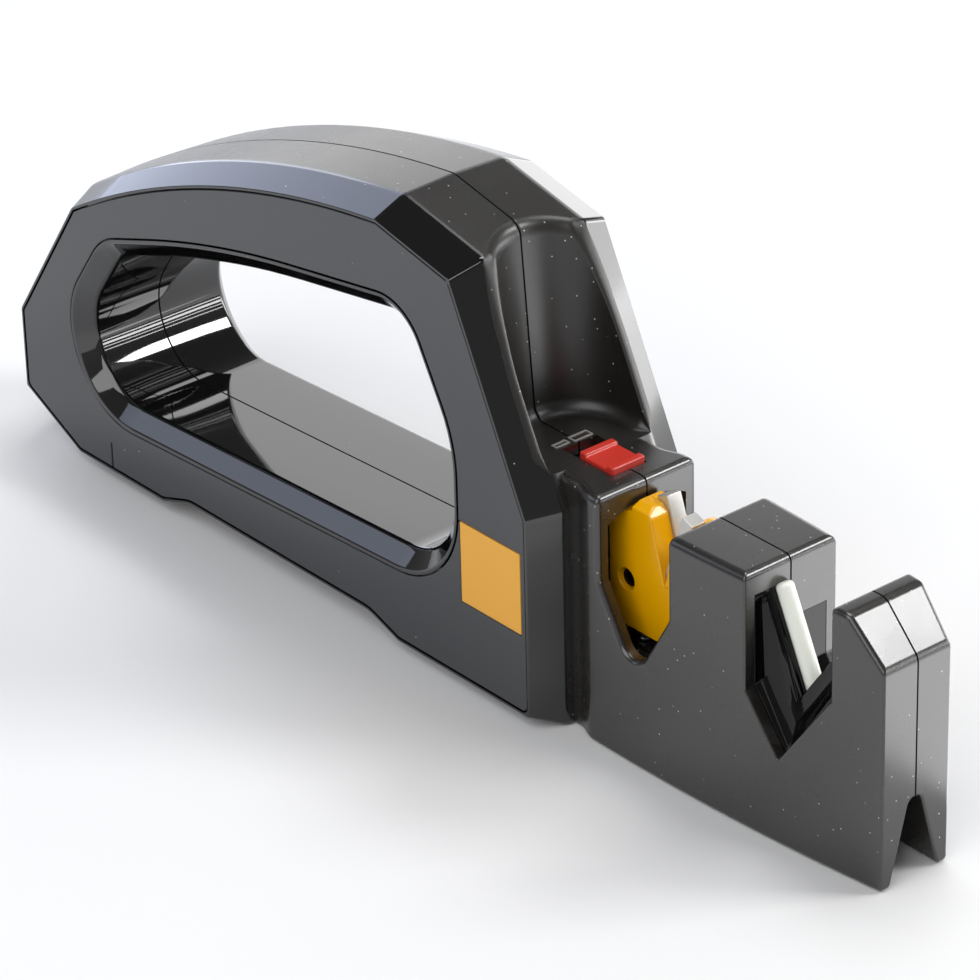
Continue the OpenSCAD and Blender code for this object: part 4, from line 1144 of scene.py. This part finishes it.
def studio_world():
    """Dim room: a little light from all round, least from straight above."""
    world = bpy.data.worlds.new("studio")
    scene.world = world
    world.use_nodes = True
    tree = world.node_tree
    sky = tree.nodes["Background"]
    sky.inputs["Strength"].default_value = 1
    aim = add(tree, "ShaderNodeTexCoord").outputs["Generated"]
    height = add(tree, "ShaderNodeSeparateXYZ", {"Vector": aim}).outputs["Z"]
    level = add(tree, "ShaderNodeMapRange", {"Value": height}, From_Min=0.0, From_Max=0.8,
                To_Min=0.26, To_Max=0.1)
    tree.links.new(level.outputs["Result"], sky.inputs["Color"])


def lamp(name, turn, rise, distance, size, radiance, tint="#ffffff", aim=(0, 0, 0.03)):
    """Soft lamp aimed at a place, from a turn round it and a rise above it in degrees.

    Distance, size and aim are in metres.
    """
    turn, rise = math.radians(turn), math.radians(rise)
    away = Vector((math.cos(turn) * math.cos(rise), math.sin(turn) * math.cos(rise),
                   math.sin(rise)))
    data = bpy.data.lights.new(name, "AREA")
    data.shape, data.size, data.size_y = "RECTANGLE", size[0], size[1]
    data.energy = radiance * math.pi * size[0] * size[1]
    data.color = colour(tint)[:3]
    obj = bpy.data.objects.new(name, data)
    obj.location = Vector(aim) + away * distance
    obj.rotation_euler = away.to_track_quat("Z", "Y").to_euler()
    scene.collection.objects.link(obj)


def studio_lamps():
    sky_blue = "#d3ddf7"
    lamp("key_window", 48, 38, 1.4, (0.42, 0.3), 19.0)
    lamp("top_window", 105, 74, 1.4, (0.8, 0.6), 4.8)
    # Low lamps on the far side, for the far sloping bands
    lamp("low_back_window", 70, 5, 1.3, (1.0, 0.2), 6.0)
    lamp("low_back_strip", 79, 0, 0.7, (0.6, 0.06), 3.6)
    lamp("brow_strip", 111, 7, 0.7, (0.56, 0.17), 1.5)
    # Windows round the rear and the right side, and a broad fill from near the camera
    lamp("rear_window", 137, 15, 1.3, (1.1, 0.7), 1.5)
    lamp("sky_window", 169, 19, 1.3, (0.66, 1.05), 2.2, sky_blue)
    lamp("side_window", 218, 28, 1.3, (0.6, 0.5), 1.5, sky_blue)
    lamp("camera_fill", -70, 42, 1.2, (1.1, 1.1), 2.3)
    # Card of light on the floor ahead of the nose tip, shining up
    lamp("floor_card", 0, -90, 0.5, (0.15, 0.12), 2.4, aim=(0.165, 0.08, 0.502))
    # Slats of a blind, low on the left ahead of the nose
    for k, (rise, tall) in enumerate(((2, 0.03), (7, 0.06), (12, 0.02), (17, 0.02))):
        lamp("blind_slat_%d" % (k + 1), 36, rise, 1.2, (0.35, tall), 9)


def photo_camera():
    """Camera solved from the photograph: turn, height and roll, on a long lens."""
    az, el, roll = math.radians(50.545), math.radians(28.929), math.radians(-1.459)
    distance, focal_px, photo_px, sensor = 867.416, 5171.35, 980, 36
    shift_right, shift_up = -15.877, -6.192
    aim = Vector((TIP_X - 80, 0, 45.9))
    back = Vector((math.sin(az) * math.cos(el), -math.cos(az) * math.cos(el), math.sin(el)))
    right0 = Vector((math.cos(az), math.sin(az), 0))
    up0 = back.cross(right0)
    right = math.cos(roll) * right0 + math.sin(roll) * up0
    up = -math.sin(roll) * right0 + math.cos(roll) * up0
    at = (aim + back * distance + right * shift_right + up * shift_up) * MM
    data = bpy.data.cameras.new("photo_camera")
    data.sensor_width = sensor
    data.lens = focal_px * sensor / photo_px
    data.clip_start = 0.05
    obj = bpy.data.objects.new("photo_camera", data)
    obj.matrix_world = Matrix(((right.x, up.x, back.x, at.x), (right.y, up.y, back.y, at.y),
                               (right.z, up.z, back.z, at.z), (0, 0, 0, 1)))
    scene.collection.objects.link(obj)
    scene.camera = obj


studio_floor()
studio_world()
studio_lamps()
photo_camera()
